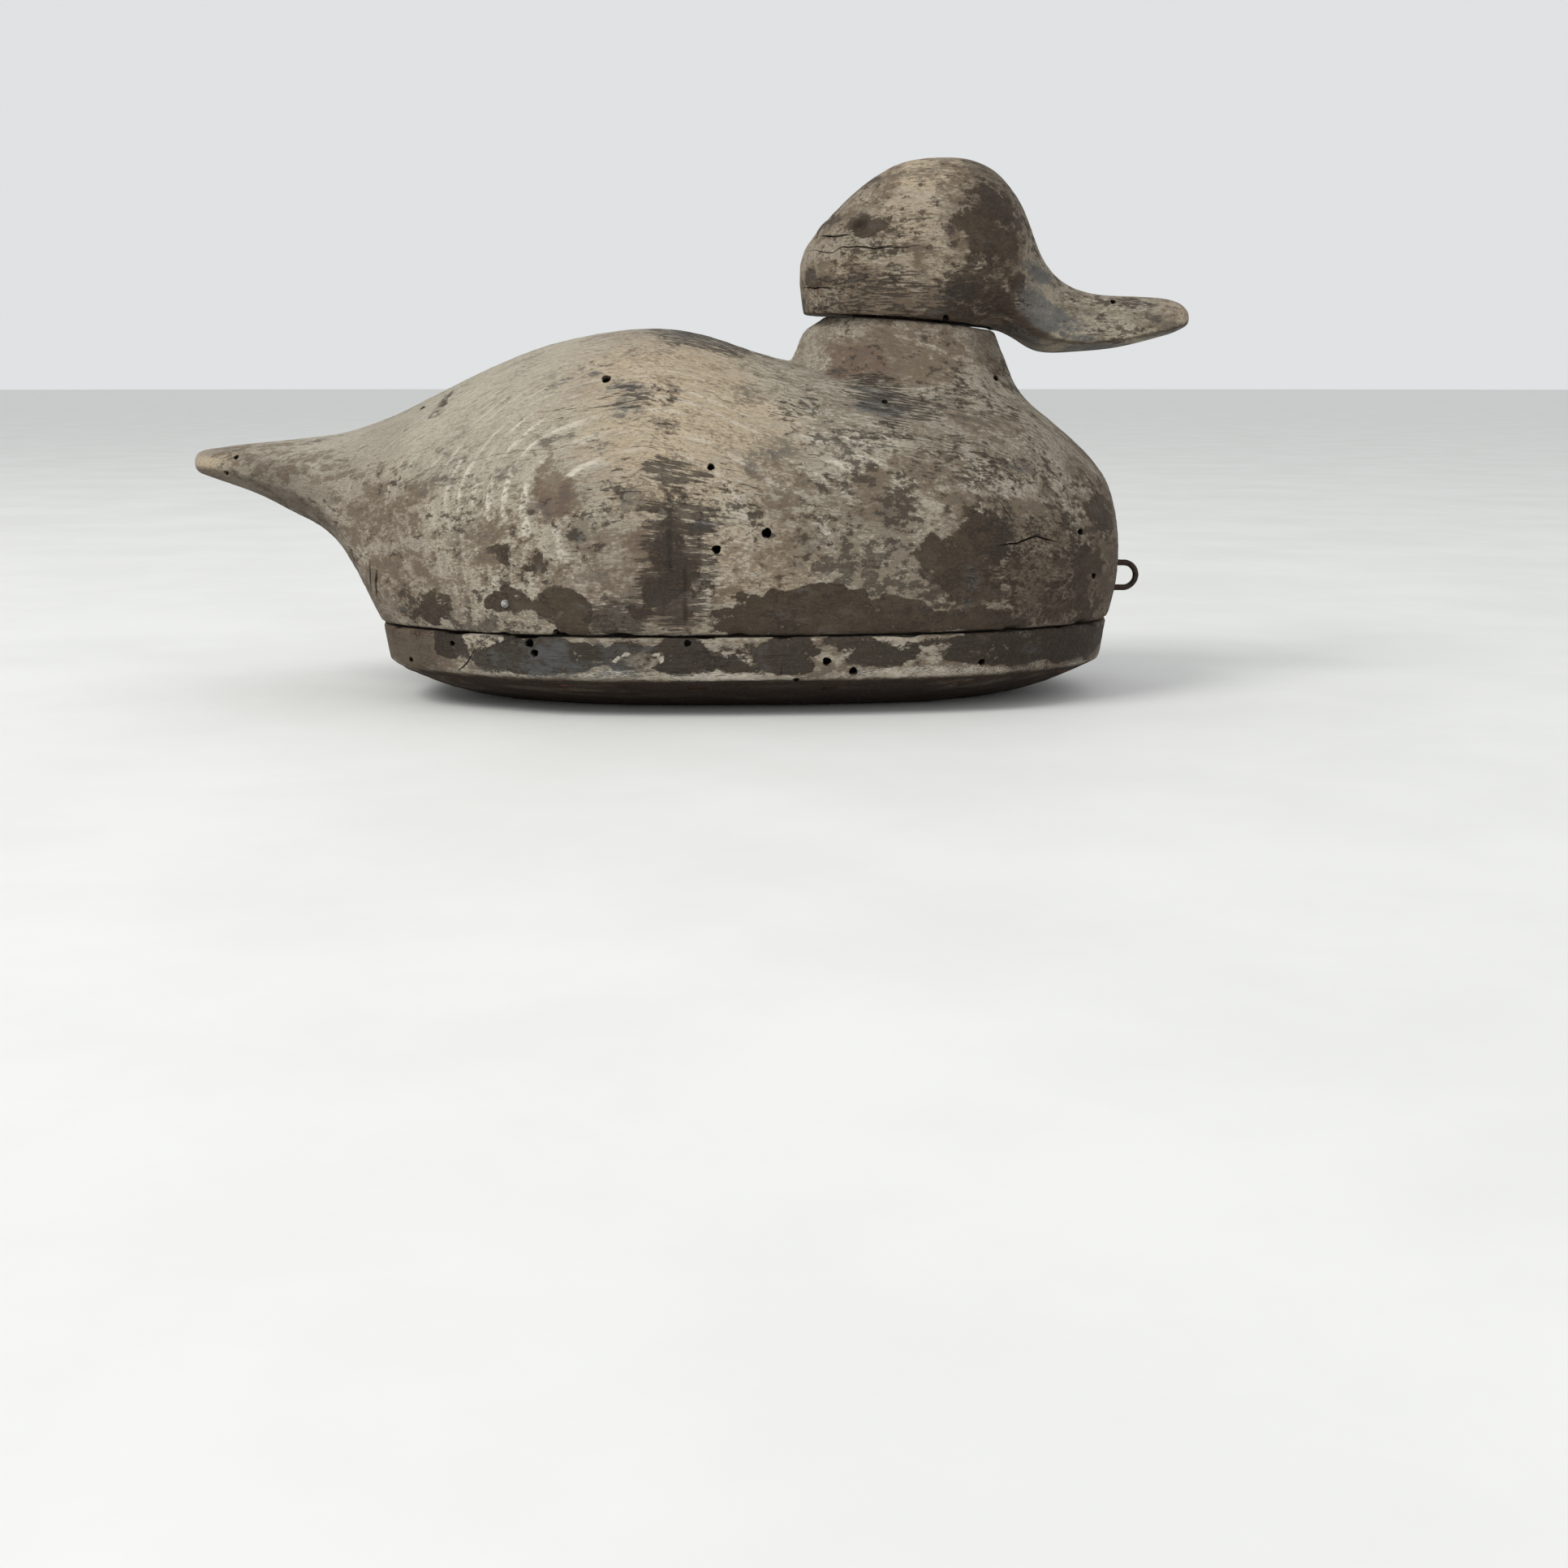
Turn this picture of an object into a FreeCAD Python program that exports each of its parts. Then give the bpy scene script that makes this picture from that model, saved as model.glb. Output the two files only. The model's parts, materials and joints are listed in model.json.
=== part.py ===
"""Hollow floating duck decoy: a carved body, a bevelled bottom board and a head that turns on a dowel.

Millimetres. +X points from the tail to the bill, +Y to the decoy's left and +Z up. The origin is on the
surface that the decoy rests on, midway between the tips of its tail and its bill.
"""

import FreeCAD, Part
import math
import os

from FreeCAD import Vector

UP = Vector(0, 0, 1)
RING_POINTS = 28  # points round one cross-section of a carved shape
OUTLINE_STEPS = 20  # stretches along each side of the seam
HOLLOW_STEPS = 12  # stretches along the hollow
BEVEL_STEPS = 4  # strips up the bevel
SEAM_TOLERANCE = 0.001
FAR = 400.0  # longer than the decoy, for cutting planes

# Body block. The tables of stations below are drawn at these three sizes and stretch with them.
BODY_LENGTH = 353.1  # tail tip to breast
BODY_WIDTH = 160.6
BACK_HEIGHT = 107.5  # top of the back above the seam
SIDE_WALL = 18.0
END_WALL = 22.0
ROOF = 22.0  # wood left between the hollow and the back
HOLLOW_FULLNESS = 2.6  # squareness of its sections, where 2 is an ellipse
HOLLOW_BLUNTNESS = 0.25  # 0 draws its ends to a point, 1 leaves them square

# Bottom board and the seam above it
BOARD_THICKNESS = 29.3
BOARD_SIDE = 14.5  # the side above the bevel
BOARD_DRAFT = 2.2  # the side leans in by this much down to the bevel
BOARD_LIP = 0.8  # the board stands proud of the body's sides by this much
BOARD_SETBACK = 0.4  # its ends stop short of the body's by this much
BEVEL_BULGE = 1.9  # the bevel is carved a little round
FLAT_LENGTH = 196.0  # the flat that it rests on, inside the bevel
FLAT_WIDTH = 90.0
SEAM_GAP = 0.7
CAULK_SETBACK = 3.5
CAULK_WIDTH = 8.0

# Neck and the seat that the head turns on
NECK_SETBACK = 85.2  # breast to the neck's axis
NECK_RISE = 21.1  # seat above the shoulders, on the axis
NECK_LENGTH = 70.0
NECK_WIDTH = 46.6
SEAT_SLOPE = 4.1  # degrees, down towards the breast
SEAT_CROWN = 1.8  # the seat is this much lower at its ends than on the axis
NECK_WASHER_THICKNESS = 1.3
NECK_WASHER_RADIUS = 17.0
WASHER_CLEARANCE = 0.3  # round the dowel

# Head
HEAD_LENGTH = 146.8  # back of the head to the tip of the bill
HEAD_WIDTH = 53.6
HEAD_HEIGHT = 59.8  # crown above the seat's level on the axis

# Dowel that the head turns on
DOWEL_RADIUS = 9.5
DOWEL_CLEARANCE = 0.08  # running fit in the neck
GLUE_GAP = 0.05  # fixed pieces in their holes
SOCKET_DEPTH = 34.0  # dowel in the head
SPOTFACE_DEPTH = 4.0  # flat seat cut up into the roof of the hollow
SPOTFACE_MARGIN = 1.0  # round the retaining washer
RETAINING_WASHER_RADIUS = 15.0
RETAINING_WASHER_THICKNESS = 2.0
END_PLAY = 0.3
PIN_RADIUS = 1.6
PIN_OVERHANG = 4.0  # pin past the dowel at each end
DOWEL_TAIL = 5.0  # dowel below the pin

# Cut nails that hold the board
NAIL_COUNT = 14
NAIL_INSET = 10.5  # nail's axis in from the edge of the board
NAIL_START = 0.78  # stern to the first nail, in spaces between nails
NAIL_SHANK = 2.6
NAIL_LENGTH = 42.0
NAIL_POINT = 8.0
NAIL_TIP = 0.65  # across the blunt tip
NAIL_HEAD_LENGTH = 5.4
NAIL_HEAD_WIDTH = 3.6
NAIL_HEAD_THICKNESS = 1.2
NAIL_SUNK = 1.0  # head below the bevel

# Lead let into the underside
BALLAST_LENGTH = 92.0
BALLAST_WIDTH = 26.0
BALLAST_THICKNESS = 7.0
BALLAST_RECESS = 0.6  # lead above the surface that the decoy rests on
BALLAST_CORNER = 5.0
BALLAST_NAIL_SPACING = 64.0
BALLAST_NAIL_RADIUS = 1.4
BALLAST_NAIL_HEAD_RADIUS = 3.2
BALLAST_NAIL_HEAD_THICKNESS = 1.0
BALLAST_NAIL_LENGTH = 20.0

# Wire loop in the breast for the anchor line
WIRE_RADIUS = 1.25
LOOP_PITCH = 9.7  # between the axes of its two legs
LOOP_REACH = 10.0  # breast to the outside of the bend
LOOP_HEIGHT = 14.0  # middle of the loop above the seam
LEG_DEPTH = 22.0

# Shot pellet lodged low in the right side
PELLET_RADIUS = 1.6
PELLET_FROM_BREAST = 226.6
PELLET_HEIGHT = 11.0  # above the seam
PELLET_PROUD = 1.1

# Stations: x, back, belly, half width and height of the widest level, all heights above the seam, then
# how full the section is above and below that level, where 2 is an ellipse and more is squarer.
DRAWN_LENGTH, DRAWN_WIDTH, DRAWN_BACK = 353.1, 160.6, 107.5
TAIL_TIP = (-188.4, 57.5)
BREAST_TIP = (164.7, 21.5)
BODY_STATIONS = [
    (-188.4, 60.3, 54.6, 6.0, 57.4, 2.0, 2.0),
    (-187.5, 61.3, 53.4, 9.5, 57.3, 2.0, 2.0),
    (-185.2, 62.1, 52.3, 12.0, 57.2, 2.0, 2.0),
    (-180.3, 62.7, 50.7, 15.0, 57.0, 2.0, 2.0),
    (-172.0, 63.9, 47.8, 19.5, 56.6, 2.0, 2.0),
    (-162.0, 64.8, 43.9, 24.5, 55.8, 2.0, 2.0),
    (-152.0, 65.8, 38.7, 29.5, 54.5, 2.0, 2.0),
    (-143.0, 66.8, 34.3, 34.0, 52.5, 2.0, 2.0),
    (-135.0, 67.9, 29.5, 38.0, 50.0, 2.0, 2.2),
    (-128.0, 69.4, 22.0, 41.5, 47.5, 2.0, 2.5),
    (-122.0, 71.3, 12.5, 44.5, 45.0, 2.0, 3.0),
    (-116.0, 73.4, 0.5, 48.0, 42.5, 2.1, 3.2),
    (-109.0, 76.2, -14.0, 52.5, 40.0, 2.1, 2.8),
    (-100.0, 80.6, -24.0, 58.5, 37.5, 2.2, 2.6),
    (-88.0, 86.4, -30.0, 64.0, 34.5, 2.2, 2.6),
    (-72.0, 93.8, -30.0, 71.0, 31.0, 2.2, 2.8),
    (-54.0, 100.6, -30.0, 77.0, 28.0, 2.3, 2.9),
    (-34.0, 105.4, -30.0, 79.5, 26.0, 2.3, 3.0),
    (-12.0, 107.5, -30.0, 80.3, 25.0, 2.3, 3.0),
    (8.0, 104.8, -30.0, 80.0, 24.0, 2.3, 3.0),
    (28.0, 97.8, -30.0, 78.8, 23.0, 2.3, 3.0),
    (50.0, 93.2, -30.0, 77.3, 23.0, 2.3, 3.0),
    (72.0, 90.6, -30.0, 75.0, 23.0, 2.3, 2.9),
    (92.0, 88.0, -30.0, 71.5, 23.5, 2.3, 2.9),
    (108.0, 85.6, -30.0, 67.0, 24.0, 2.3, 2.8),
    (122.0, 82.6, -30.0, 61.5, 24.5, 2.2, 2.7),
    (130.3, 79.4, -29.0, 56.0, 25.0, 2.2, 2.5),
    (139.0, 72.5, -27.0, 50.5, 25.0, 2.2, 2.5),
    (147.8, 65.2, -24.0, 43.5, 25.0, 2.1, 2.4),
    (154.6, 58.4, -18.0, 36.5, 24.5, 2.1, 2.3),
    (159.5, 51.5, -6.0, 29.0, 24.0, 2.1, 2.2),
    (162.5, 43.8, 3.5, 21.0, 22.5, 2.0, 2.2),
    (164.1, 36.0, 10.0, 13.5, 22.0, 2.0, 2.0),
    (164.7, 29.0, 15.0, 7.0, 21.5, 2.0, 2.0),
]

# Neck: level below the ends of the seat, back and front from the axis, and half width
DRAWN_NECK_LENGTH, DRAWN_NECK_WIDTH = 70.0, 46.6
NECK_FULLNESS = 2.3
NECK_STATIONS = [
    (-10.0, -20.0, 33.0, 22.5),
    (-3.0, -26.5, 35.0, 23.2),
    (0.0, -31.5, 35.9, 23.5),
    (1.5, -33.8, 36.3, 23.7),
    (4.0, -36.2, 37.0, 24.1),
    (10.0, -38.5, 39.5, 25.5),
    (16.0, -42.0, 42.3, 28.5),
    (22.0, -47.5, 44.6, 33.5),
    (29.0, -55.5, 50.3, 41.0),
    (38.0, -67.0, 58.5, 50.0),
    (46.0, -73.0, 65.0, 54.0),
]

# Head: x from the neck's axis, top, underside, half width, widest level and fullness, as for the body, with
# heights above the middle of the gap under the head
DRAWN_HEAD_LENGTH, DRAWN_HEAD_WIDTH, DRAWN_HEAD_HEIGHT = 146.8, 53.6, 59.8
HEAD_BACK_TIP = (-36.9, 16.9)
BILL_TIP = (109.9, 1.8)
HEAD_STATIONS = [
    (-36.9, 20.9, 12.9, 5.0, 16.9, 2.0, 2.0),
    (-36.3, 22.9, 8.4, 10.0, 16.9, 2.0, 2.2),
    (-35.3, 26.4, 1.4, 14.0, 17.4, 2.1, 2.4),
    (-33.0, 29.9, -6.6, 18.0, 18.4, 2.1, 2.6),
    (-28.9, 35.0, -12.6, 21.0, 19.4, 2.1, 2.8),
    (-23.0, 41.2, -16.6, 23.3, 20.4, 2.1, 2.8),
    (-15.5, 48.0, -18.6, 25.3, 21.4, 2.2, 2.8),
    (-5.5, 55.1, -18.6, 26.5, 22.4, 2.2, 2.8),
    (4.5, 58.8, -17.6, 26.8, 22.4, 2.2, 2.7),
    (14.5, 59.8, -14.6, 26.3, 22.4, 2.2, 2.6),
    (23.5, 59.6, -10.1, 25.0, 21.4, 2.1, 2.5),
    (30.5, 57.7, -4.6, 23.5, 20.4, 2.1, 2.4),
    (36.5, 54.4, -2.6, 21.8, 18.4, 2.0, 2.6),
    (42.0, 48.6, -4.6, 20.0, 14.0, 2.0, 3.0),
    (46.5, 41.9, -7.0, 18.2, 8.5, 1.9, 3.2),
    (50.5, 32.4, -9.4, 16.8, 3.0, 1.8, 3.0),
    (54.5, 23.7, -10.8, 15.8, -2.0, 1.8, 2.6),
    (59.5, 17.4, -11.1, 14.7, -5.5, 1.8, 2.2),
    (66.5, 12.7, -10.7, 14.1, -7.2, 1.8, 2.0),
    (75.5, 10.3, -10.0, 14.0, -7.2, 1.8, 2.0),
    (85.5, 9.7, -8.8, 14.6, -6.2, 1.8, 2.0),
    (95.5, 9.5, -6.2, 15.4, -3.9, 1.8, 2.0),
    (102.5, 8.7, -4.4, 14.8, -2.2, 1.8, 2.0),
    (106.4, 7.2, -2.8, 12.2, -0.8, 1.9, 2.0),
    (108.9, 5.2, -1.6, 8.3, 0.6, 2.0, 2.0),
    (109.9, 3.6, -0.3, 4.0, 1.6, 2.0, 2.0),
]
CHIN_X = 35.0  # where the seat ends and the chin begins, from the axis

# Levels and axes that follow from the sizes above
SEAM_TOP = BOARD_THICKNESS + SEAM_GAP
LENGTH_SCALE = BODY_LENGTH / DRAWN_LENGTH
WIDTH_SCALE = BODY_WIDTH / DRAWN_WIDTH
HEIGHT_SCALE = BACK_HEIGHT / DRAWN_BACK
NECK_X = BREAST_TIP[0] * LENGTH_SCALE - NECK_SETBACK
TILT = math.radians(SEAT_SLOPE)
AXIS = Vector(math.sin(TILT), 0, math.cos(TILT))


def signed_power(value, power):
    return math.copysign(abs(value) ** power, value)


def stretched(stations, x_scale, z_scale, y_scale, x_shift, z_shift):
    """Stations at the chosen sizes: x, top, bottom, half width and widest level are scaled and placed."""
    rows = []
    for x, top, bottom, half, widest, upper, lower in stations:
        top, bottom, widest = (z_shift + z * z_scale for z in (top, bottom, widest))
        rows.append((x_shift + x * x_scale, top, bottom, half * y_scale, widest, upper, lower))
    return rows


def section_ring(station):
    """Points round an upright cross-section: one superellipse above its widest level, one below it."""
    x, top, bottom, half, widest, upper, lower = station
    points = []
    for k in range(RING_POINTS):
        angle = 2 * math.pi * k / RING_POINTS
        above = math.cos(angle) >= 0
        rise = top - widest if above else widest - bottom
        power = 2 / (upper if above else lower)
        y = half * signed_power(math.sin(angle), power)
        points.append(Vector(x, y, widest + rise * signed_power(math.cos(angle), power)))
    return points


def level_ring(z, back, front, half, fullness):
    """Points round a level cross-section, a superellipse between back and front."""
    points = []
    for k in range(RING_POINTS):
        angle = 2 * math.pi * k / RING_POINTS
        x = (back + front) / 2 + (front - back) / 2 * signed_power(math.cos(angle), 2 / fullness)
        points.append(Vector(x, half * signed_power(math.sin(angle), 2 / fullness), z))
    return points


def poles_through(points, closed):
    """Control points of a uniform cubic B-spline that passes very near the points given."""
    count = len(points)
    poles = []
    for k, point in enumerate(points):
        if not closed and k in (0, count - 1):
            poles.append(point)
            continue
        bend = points[k - 1] + points[(k + 1) % count] - point * 2
        poles.append(point - bend * (1 / 6))
    return poles


def faired_solid(first, rings, last):
    """A closed carved shape: a smooth skin through the rings, drawn in to a point at each end."""
    rows = [[first] * RING_POINTS] + [poles_through(ring, True) for ring in rings] + [[last] * RING_POINTS]
    columns = [poles_through(list(column), False) for column in zip(*rows)]
    rows = [list(row) for row in zip(*columns)]
    spans = len(rows) - 3
    skin = Part.BSplineSurface()
    skin.buildFromPolesMultsKnots(
        rows,
        [4] + [1] * (spans - 1) + [4],
        [1] * (RING_POINTS + 1),
        list(range(spans + 1)),
        list(range(RING_POINTS + 1)),
        False,
        True,
        3,
        3,
    )
    sides = []
    for start, end in ((0, RING_POINTS // 2), (RING_POINTS // 2, RING_POINTS)):
        side = skin.copy()
        side.segment(0, spans, start, end)
        sides.append(Part.Face(side))
    shell = Part.makeShell(sides)
    shell.sewShape()
    solid = Part.Solid(shell)
    if solid.Volume < 0:
        solid.reverse()
    return solid


def interpolated(stations, x):
    """A station at any x, on a smooth curve through each column of the table."""
    spot = next((k for k in range(1, len(stations)) if stations[k][0] >= x), len(stations) - 1)
    left, right = stations[spot - 1], stations[spot]
    before, after = stations[max(spot - 2, 0)], stations[min(spot + 1, len(stations) - 1)]
    span = right[0] - left[0]
    t = min(max((x - left[0]) / span, 0.0), 1.0)
    row = [x]
    for k in range(1, len(left)):
        slope_in = (right[k] - before[k]) / (right[0] - before[0]) * span
        slope_out = (after[k] - left[k]) / (after[0] - left[0]) * span
        change = right[k] - left[k]
        bend = (slope_in - change) * (1 - t) + (change - slope_out) * t
        row.append(left[k] + change * t + t * (1 - t) * bend)
    return row


BODY = stretched(BODY_STATIONS, LENGTH_SCALE, HEIGHT_SCALE, WIDTH_SCALE, 0.0, SEAM_TOP)
SEAT_Z = interpolated(BODY, NECK_X)[1] + NECK_RISE
SEAT = Vector(NECK_X, 0, SEAT_Z)
SEAT_ENDS_Z = SEAT_Z - SEAT_CROWN
SEAT_RADIUS = (NECK_LENGTH / 2) ** 2 / (2 * SEAT_CROWN) + SEAT_CROWN / 2
HEAD_LEVEL = SEAT_ENDS_Z + NECK_WASHER_THICKNESS / 2


def along_axis(distance):
    """A point on the dowel's axis, this far above the neck's seat."""
    return SEAT + AXIS * distance


def axis_cylinder(radius, low, high):
    """A cylinder round the dowel's axis, between two distances from the neck's seat."""
    return Part.makeCylinder(radius, high - low, along_axis(low), AXIS)


def box_between(low, high):
    return Part.makeBox(high.x - low.x, high.y - low.y, high.z - low.z, low)


def below_seat(distance):
    """Everything below the crowned surface this far above the neck's seat."""
    return Part.makeSphere(SEAT_RADIUS + distance, along_axis(-SEAT_RADIUS), AXIS)


def behind(distance):
    """Everything behind the plane this far ahead of the dowel's axis."""
    block = box_between(Vector(-FAR, -FAR, -FAR), Vector(distance, FAR, FAR))
    block.rotate(Vector(0, 0, 0), Vector(0, 1, 0), SEAT_SLOPE)
    block.translate(SEAT)
    return block


def hull():
    """The whole carved outline of the body, drawn on below the seam."""
    tips = [Vector(x * LENGTH_SCALE, 0, SEAM_TOP + z * HEIGHT_SCALE) for x, z in (TAIL_TIP, BREAST_TIP)]
    return faired_solid(tips[0], [section_ring(station) for station in BODY], tips[1])


def neck():
    """The raised neck, flaring out into the shoulders."""
    long = NECK_LENGTH / DRAWN_NECK_LENGTH
    wide = NECK_WIDTH / DRAWN_NECK_WIDTH
    rings = []
    for drop, back, front, half in NECK_STATIONS:
        ends = NECK_X + back * long, NECK_X + front * long
        rings.append(level_ring(SEAT_ENDS_Z - drop, *ends, half * wide, NECK_FULLNESS))
    top, bottom = (Vector(NECK_X, 0, SEAT_ENDS_Z - NECK_STATIONS[k][0]) for k in (0, -1))
    return faired_solid(top, rings, bottom).common(below_seat(0.0))


def half_width_at(station, z):
    """Half the width of the body at this height, in its lower half. None where the belly is above it."""
    _, _, bottom, half, widest, _, lower = station
    if bottom >= z:
        return None
    return half * (1 - ((widest - z) / (widest - bottom)) ** lower) ** (1 / lower)


def seam_end(start, step):
    """Where the body's centreline crosses the seam, walking out from inside the body."""
    x = start
    while abs(step) > SEAM_TOLERANCE:
        while half_width_at(interpolated(BODY, x + step), SEAM_TOP) is not None:
            x += step
        step /= 4
    return x


STERN_X = seam_end(0.0, -8.0)
BOW_X = seam_end(0.0, 8.0)


def seam_outline(inset):
    """The body's outline at the seam, moved in by the inset, as points from the stern round by the left."""
    side = []
    for k in range(OUTLINE_STEPS + 1):
        x = (STERN_X + BOW_X) / 2 - (BOW_X - STERN_X) / 2 * math.cos(math.pi * k / OUTLINE_STEPS)
        half = 0.0
        if 0 < k < OUTLINE_STEPS:
            half = half_width_at(interpolated(BODY, x), SEAM_TOP)
        side.append(Vector(x, half, 0))
    points = side + [Vector(p.x, -p.y, 0) for p in reversed(side[1:-1])]
    moved = []
    for k, point in enumerate(points):
        along = points[(k + 1) % len(points)] - points[k - 1]
        inward = Vector(along.y, -along.x, 0).normalize()
        moved.append(point + inward * inset)
    return moved


def stretched_outline(points, x_scale, y_scale):
    """An outline scaled about the middle of the seam."""
    middle = (STERN_X + BOW_X) / 2
    return [Vector(middle + (p.x - middle) * x_scale, p.y * y_scale, 0) for p in points]


def board_outline(inset):
    """The board's rim, moved in by the inset: proud of the seam at its sides, short of it at its ends."""
    shortened = 1 - 2 * (BOARD_LIP + BOARD_SETBACK) / (BOW_X - STERN_X)
    return stretched_outline(seam_outline(inset - BOARD_LIP), shortened, 1.0)


def outline_wire(points):
    curve = Part.BSplineCurve()
    curve.interpolate(points, PeriodicFlag=True)
    return Part.Wire(curve.toShape())


def raised(points, level):
    """An outline at another level."""
    return [Vector(p.x, p.y, level) for p in points]


def slab(points, low, high):
    """The space inside an outline, between two levels."""
    face = Part.Face(outline_wire(raised(points, low)))
    return face.extrude(UP * (high - low))


def board_blank():
    """The bottom board before it is drilled: a nearly upright side over a bevel down to the flat."""
    rim = board_outline(0.0)
    low, high = min(p.x for p in rim), max(p.x for p in rim)
    wide = max(p.y for p in rim)
    flat = stretched_outline(rim, FLAT_LENGTH / (high - low), FLAT_WIDTH / (2 * wide))
    edge = board_outline(BOARD_DRAFT)
    outlines = []
    for k in range(BEVEL_STEPS + 1):
        t = k / BEVEL_STEPS
        level = (BOARD_THICKNESS - BOARD_SIDE) * t - 4 * BEVEL_BULGE * t * (1 - t)
        outlines.append(raised([inner + (outer - inner) * t for inner, outer in zip(flat, edge)], level))
    outlines.append(raised(rim, BOARD_THICKNESS))
    return Part.makeLoft([outline_wire(outline) for outline in outlines], True, True)


def hollow():
    """The space inside the body, up to the roof, open at the seam."""
    low, high = STERN_X + END_WALL, BOW_X - END_WALL
    full = HOLLOW_FULLNESS
    rings = []
    for k in range(HOLLOW_STEPS + 1):
        angle = math.pi * k / HOLLOW_STEPS
        station = interpolated(BODY, (low + high) / 2 - (high - low) / 2 * math.cos(angle))
        taper = math.sqrt(max(math.sin(angle), HOLLOW_BLUNTNESS))
        half = (half_width_at(station, SEAM_TOP) - SIDE_WALL) * taper
        rise = (station[1] - ROOF - SEAM_TOP) * taper
        space = (station[0], SEAM_TOP + rise, SEAM_TOP - rise, half, SEAM_TOP, full, full)
        rings.append(section_ring(space))
    ends = [Vector(x, 0, SEAM_TOP) for x in (low, high)]
    return faired_solid(ends[0], rings, ends[1])


ROOF_Z = interpolated(BODY, NECK_X)[1] - ROOF
SPOTFACE = -((SEAT_Z - ROOF_Z) / math.cos(TILT) - SPOTFACE_DEPTH)  # along the axis from the seat


def lowest_at(shape, x, y):
    """Height of the underside of a shape at one place."""
    probe = Part.makeLine(Vector(x, y, -FAR), Vector(x, y, FAR))
    return min(vertex.Z for vertex in shape.common(probe).Vertexes)


def evenly_spaced(points, count, start):
    """Places at equal distances round a closed outline, with the heading at each, in degrees."""
    edge = outline_wire(points).Edges[0]
    places = []
    for k in range(count):
        parameter = edge.getParameterByLength(edge.Length * (k + start) / count)
        tangent = edge.tangentAt(parameter)
        places.append((edge.valueAt(parameter), math.degrees(math.atan2(tangent.y, tangent.x))))
    return places


def block_on_axis(length, width, low, high):
    return box_between(Vector(-length / 2, -width / 2, low), Vector(length / 2, width / 2, high))


def cut_nail():
    """A square cut nail, standing point up on its head."""
    head = block_on_axis(NAIL_HEAD_LENGTH, NAIL_HEAD_WIDTH, 0, NAIL_HEAD_THICKNESS)
    shank = block_on_axis(NAIL_SHANK, NAIL_SHANK, NAIL_HEAD_THICKNESS, NAIL_LENGTH - NAIL_POINT)
    squares = []
    for across, z in ((NAIL_SHANK, NAIL_LENGTH - NAIL_POINT), (NAIL_TIP, NAIL_LENGTH)):
        half = across / 2
        corners = [Vector(x, y, z) for x, y in ((-half, -half), (half, -half), (half, half), (-half, half))]
        squares.append(Part.makePolygon(corners + corners[:1]))
    point = Part.makeLoft(squares, True, True)
    return head.fuse([shank, point]).removeSplitter()


def bottom_nails(board):
    """The nails, and the pits above which their heads are sunk in the bevel."""
    nails, pits = [], []
    for place, heading in evenly_spaced(board_outline(NAIL_INSET), NAIL_COUNT, NAIL_START):
        start = Vector(place.x, place.y, lowest_at(board, place.x, place.y) + NAIL_SUNK)
        pit = block_on_axis(NAIL_HEAD_LENGTH, NAIL_HEAD_WIDTH, -FAR, 0)
        for shape in (nail := cut_nail(), pit):
            shape.rotate(Vector(0, 0, 0), UP, heading)
            shape.translate(start)
        nails.append(nail)
        pits.append(pit)
    return nails, pits


def ballast_blank(grow, low, high):
    """A block with rounded corners where the lead lies."""
    block = block_on_axis(BALLAST_LENGTH + 2 * grow, BALLAST_WIDTH + 2 * grow, low, high)
    upright = [edge for edge in block.Edges if abs(edge.tangentAt(edge.FirstParameter).z) > 0.9]
    block = block.makeFillet(BALLAST_CORNER, upright)
    block.translate(Vector((STERN_X + BOW_X) / 2, 0, 0))
    return block


def ballast_nails():
    """Round nails through the lead, with flat heads let in flush with it."""
    nails = []
    for side in (-1, 1):
        foot = Vector((STERN_X + BOW_X) / 2 + side * BALLAST_NAIL_SPACING / 2, 0, BALLAST_RECESS)
        head = Part.makeCylinder(BALLAST_NAIL_HEAD_RADIUS, BALLAST_NAIL_HEAD_THICKNESS, foot)
        shank = Part.makeCylinder(BALLAST_NAIL_RADIUS, BALLAST_NAIL_LENGTH, foot)
        nails.append(head.fuse(shank).removeSplitter())
    return nails


def loop_wire(radius):
    """The U-shaped wire, its two legs one above the other and its bend ahead of the breast."""
    bend = LOOP_PITCH / 2
    breast = BREAST_TIP[0] * LENGTH_SCALE
    level = SEAM_TOP + LOOP_HEIGHT
    turn = breast + LOOP_REACH - WIRE_RADIUS - bend
    inner = breast - LEG_DEPTH
    high, low = level + bend, level - bend
    path = Part.Wire(
        [
            Part.makeLine(Vector(inner, 0, high), Vector(turn, 0, high)),
            Part.Arc(Vector(turn, 0, high), Vector(turn + bend, 0, level), Vector(turn, 0, low)).toShape(),
            Part.makeLine(Vector(turn, 0, low), Vector(inner, 0, low)),
        ]
    )
    section = Part.Wire(Part.makeCircle(radius, Vector(inner, 0, high), Vector(1, 0, 0)))
    return path.makePipeShell([section], True, True)


def pellet_centre(shape):
    """Middle of the pellet, a little inside the skin on the right side."""
    x = BREAST_TIP[0] * LENGTH_SCALE - PELLET_FROM_BREAST
    z = SEAM_TOP + PELLET_HEIGHT
    probe = Part.makeLine(Vector(x, -FAR, z), Vector(x, 0, z))
    skin = min(vertex.Y for vertex in shape.common(probe).Vertexes)
    return Vector(x, skin + PELLET_RADIUS - PELLET_PROUD, z)


def pin_level():
    return SPOTFACE - END_PLAY - RETAINING_WASHER_THICKNESS - PIN_RADIUS


def dowel_pin(radius):
    """The pin across the dowel, under its washer."""
    reach = Vector(0, DOWEL_RADIUS + PIN_OVERHANG, 0)
    return Part.makeCylinder(radius, 2 * reach.Length, along_axis(pin_level()) - reach, reach)


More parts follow.
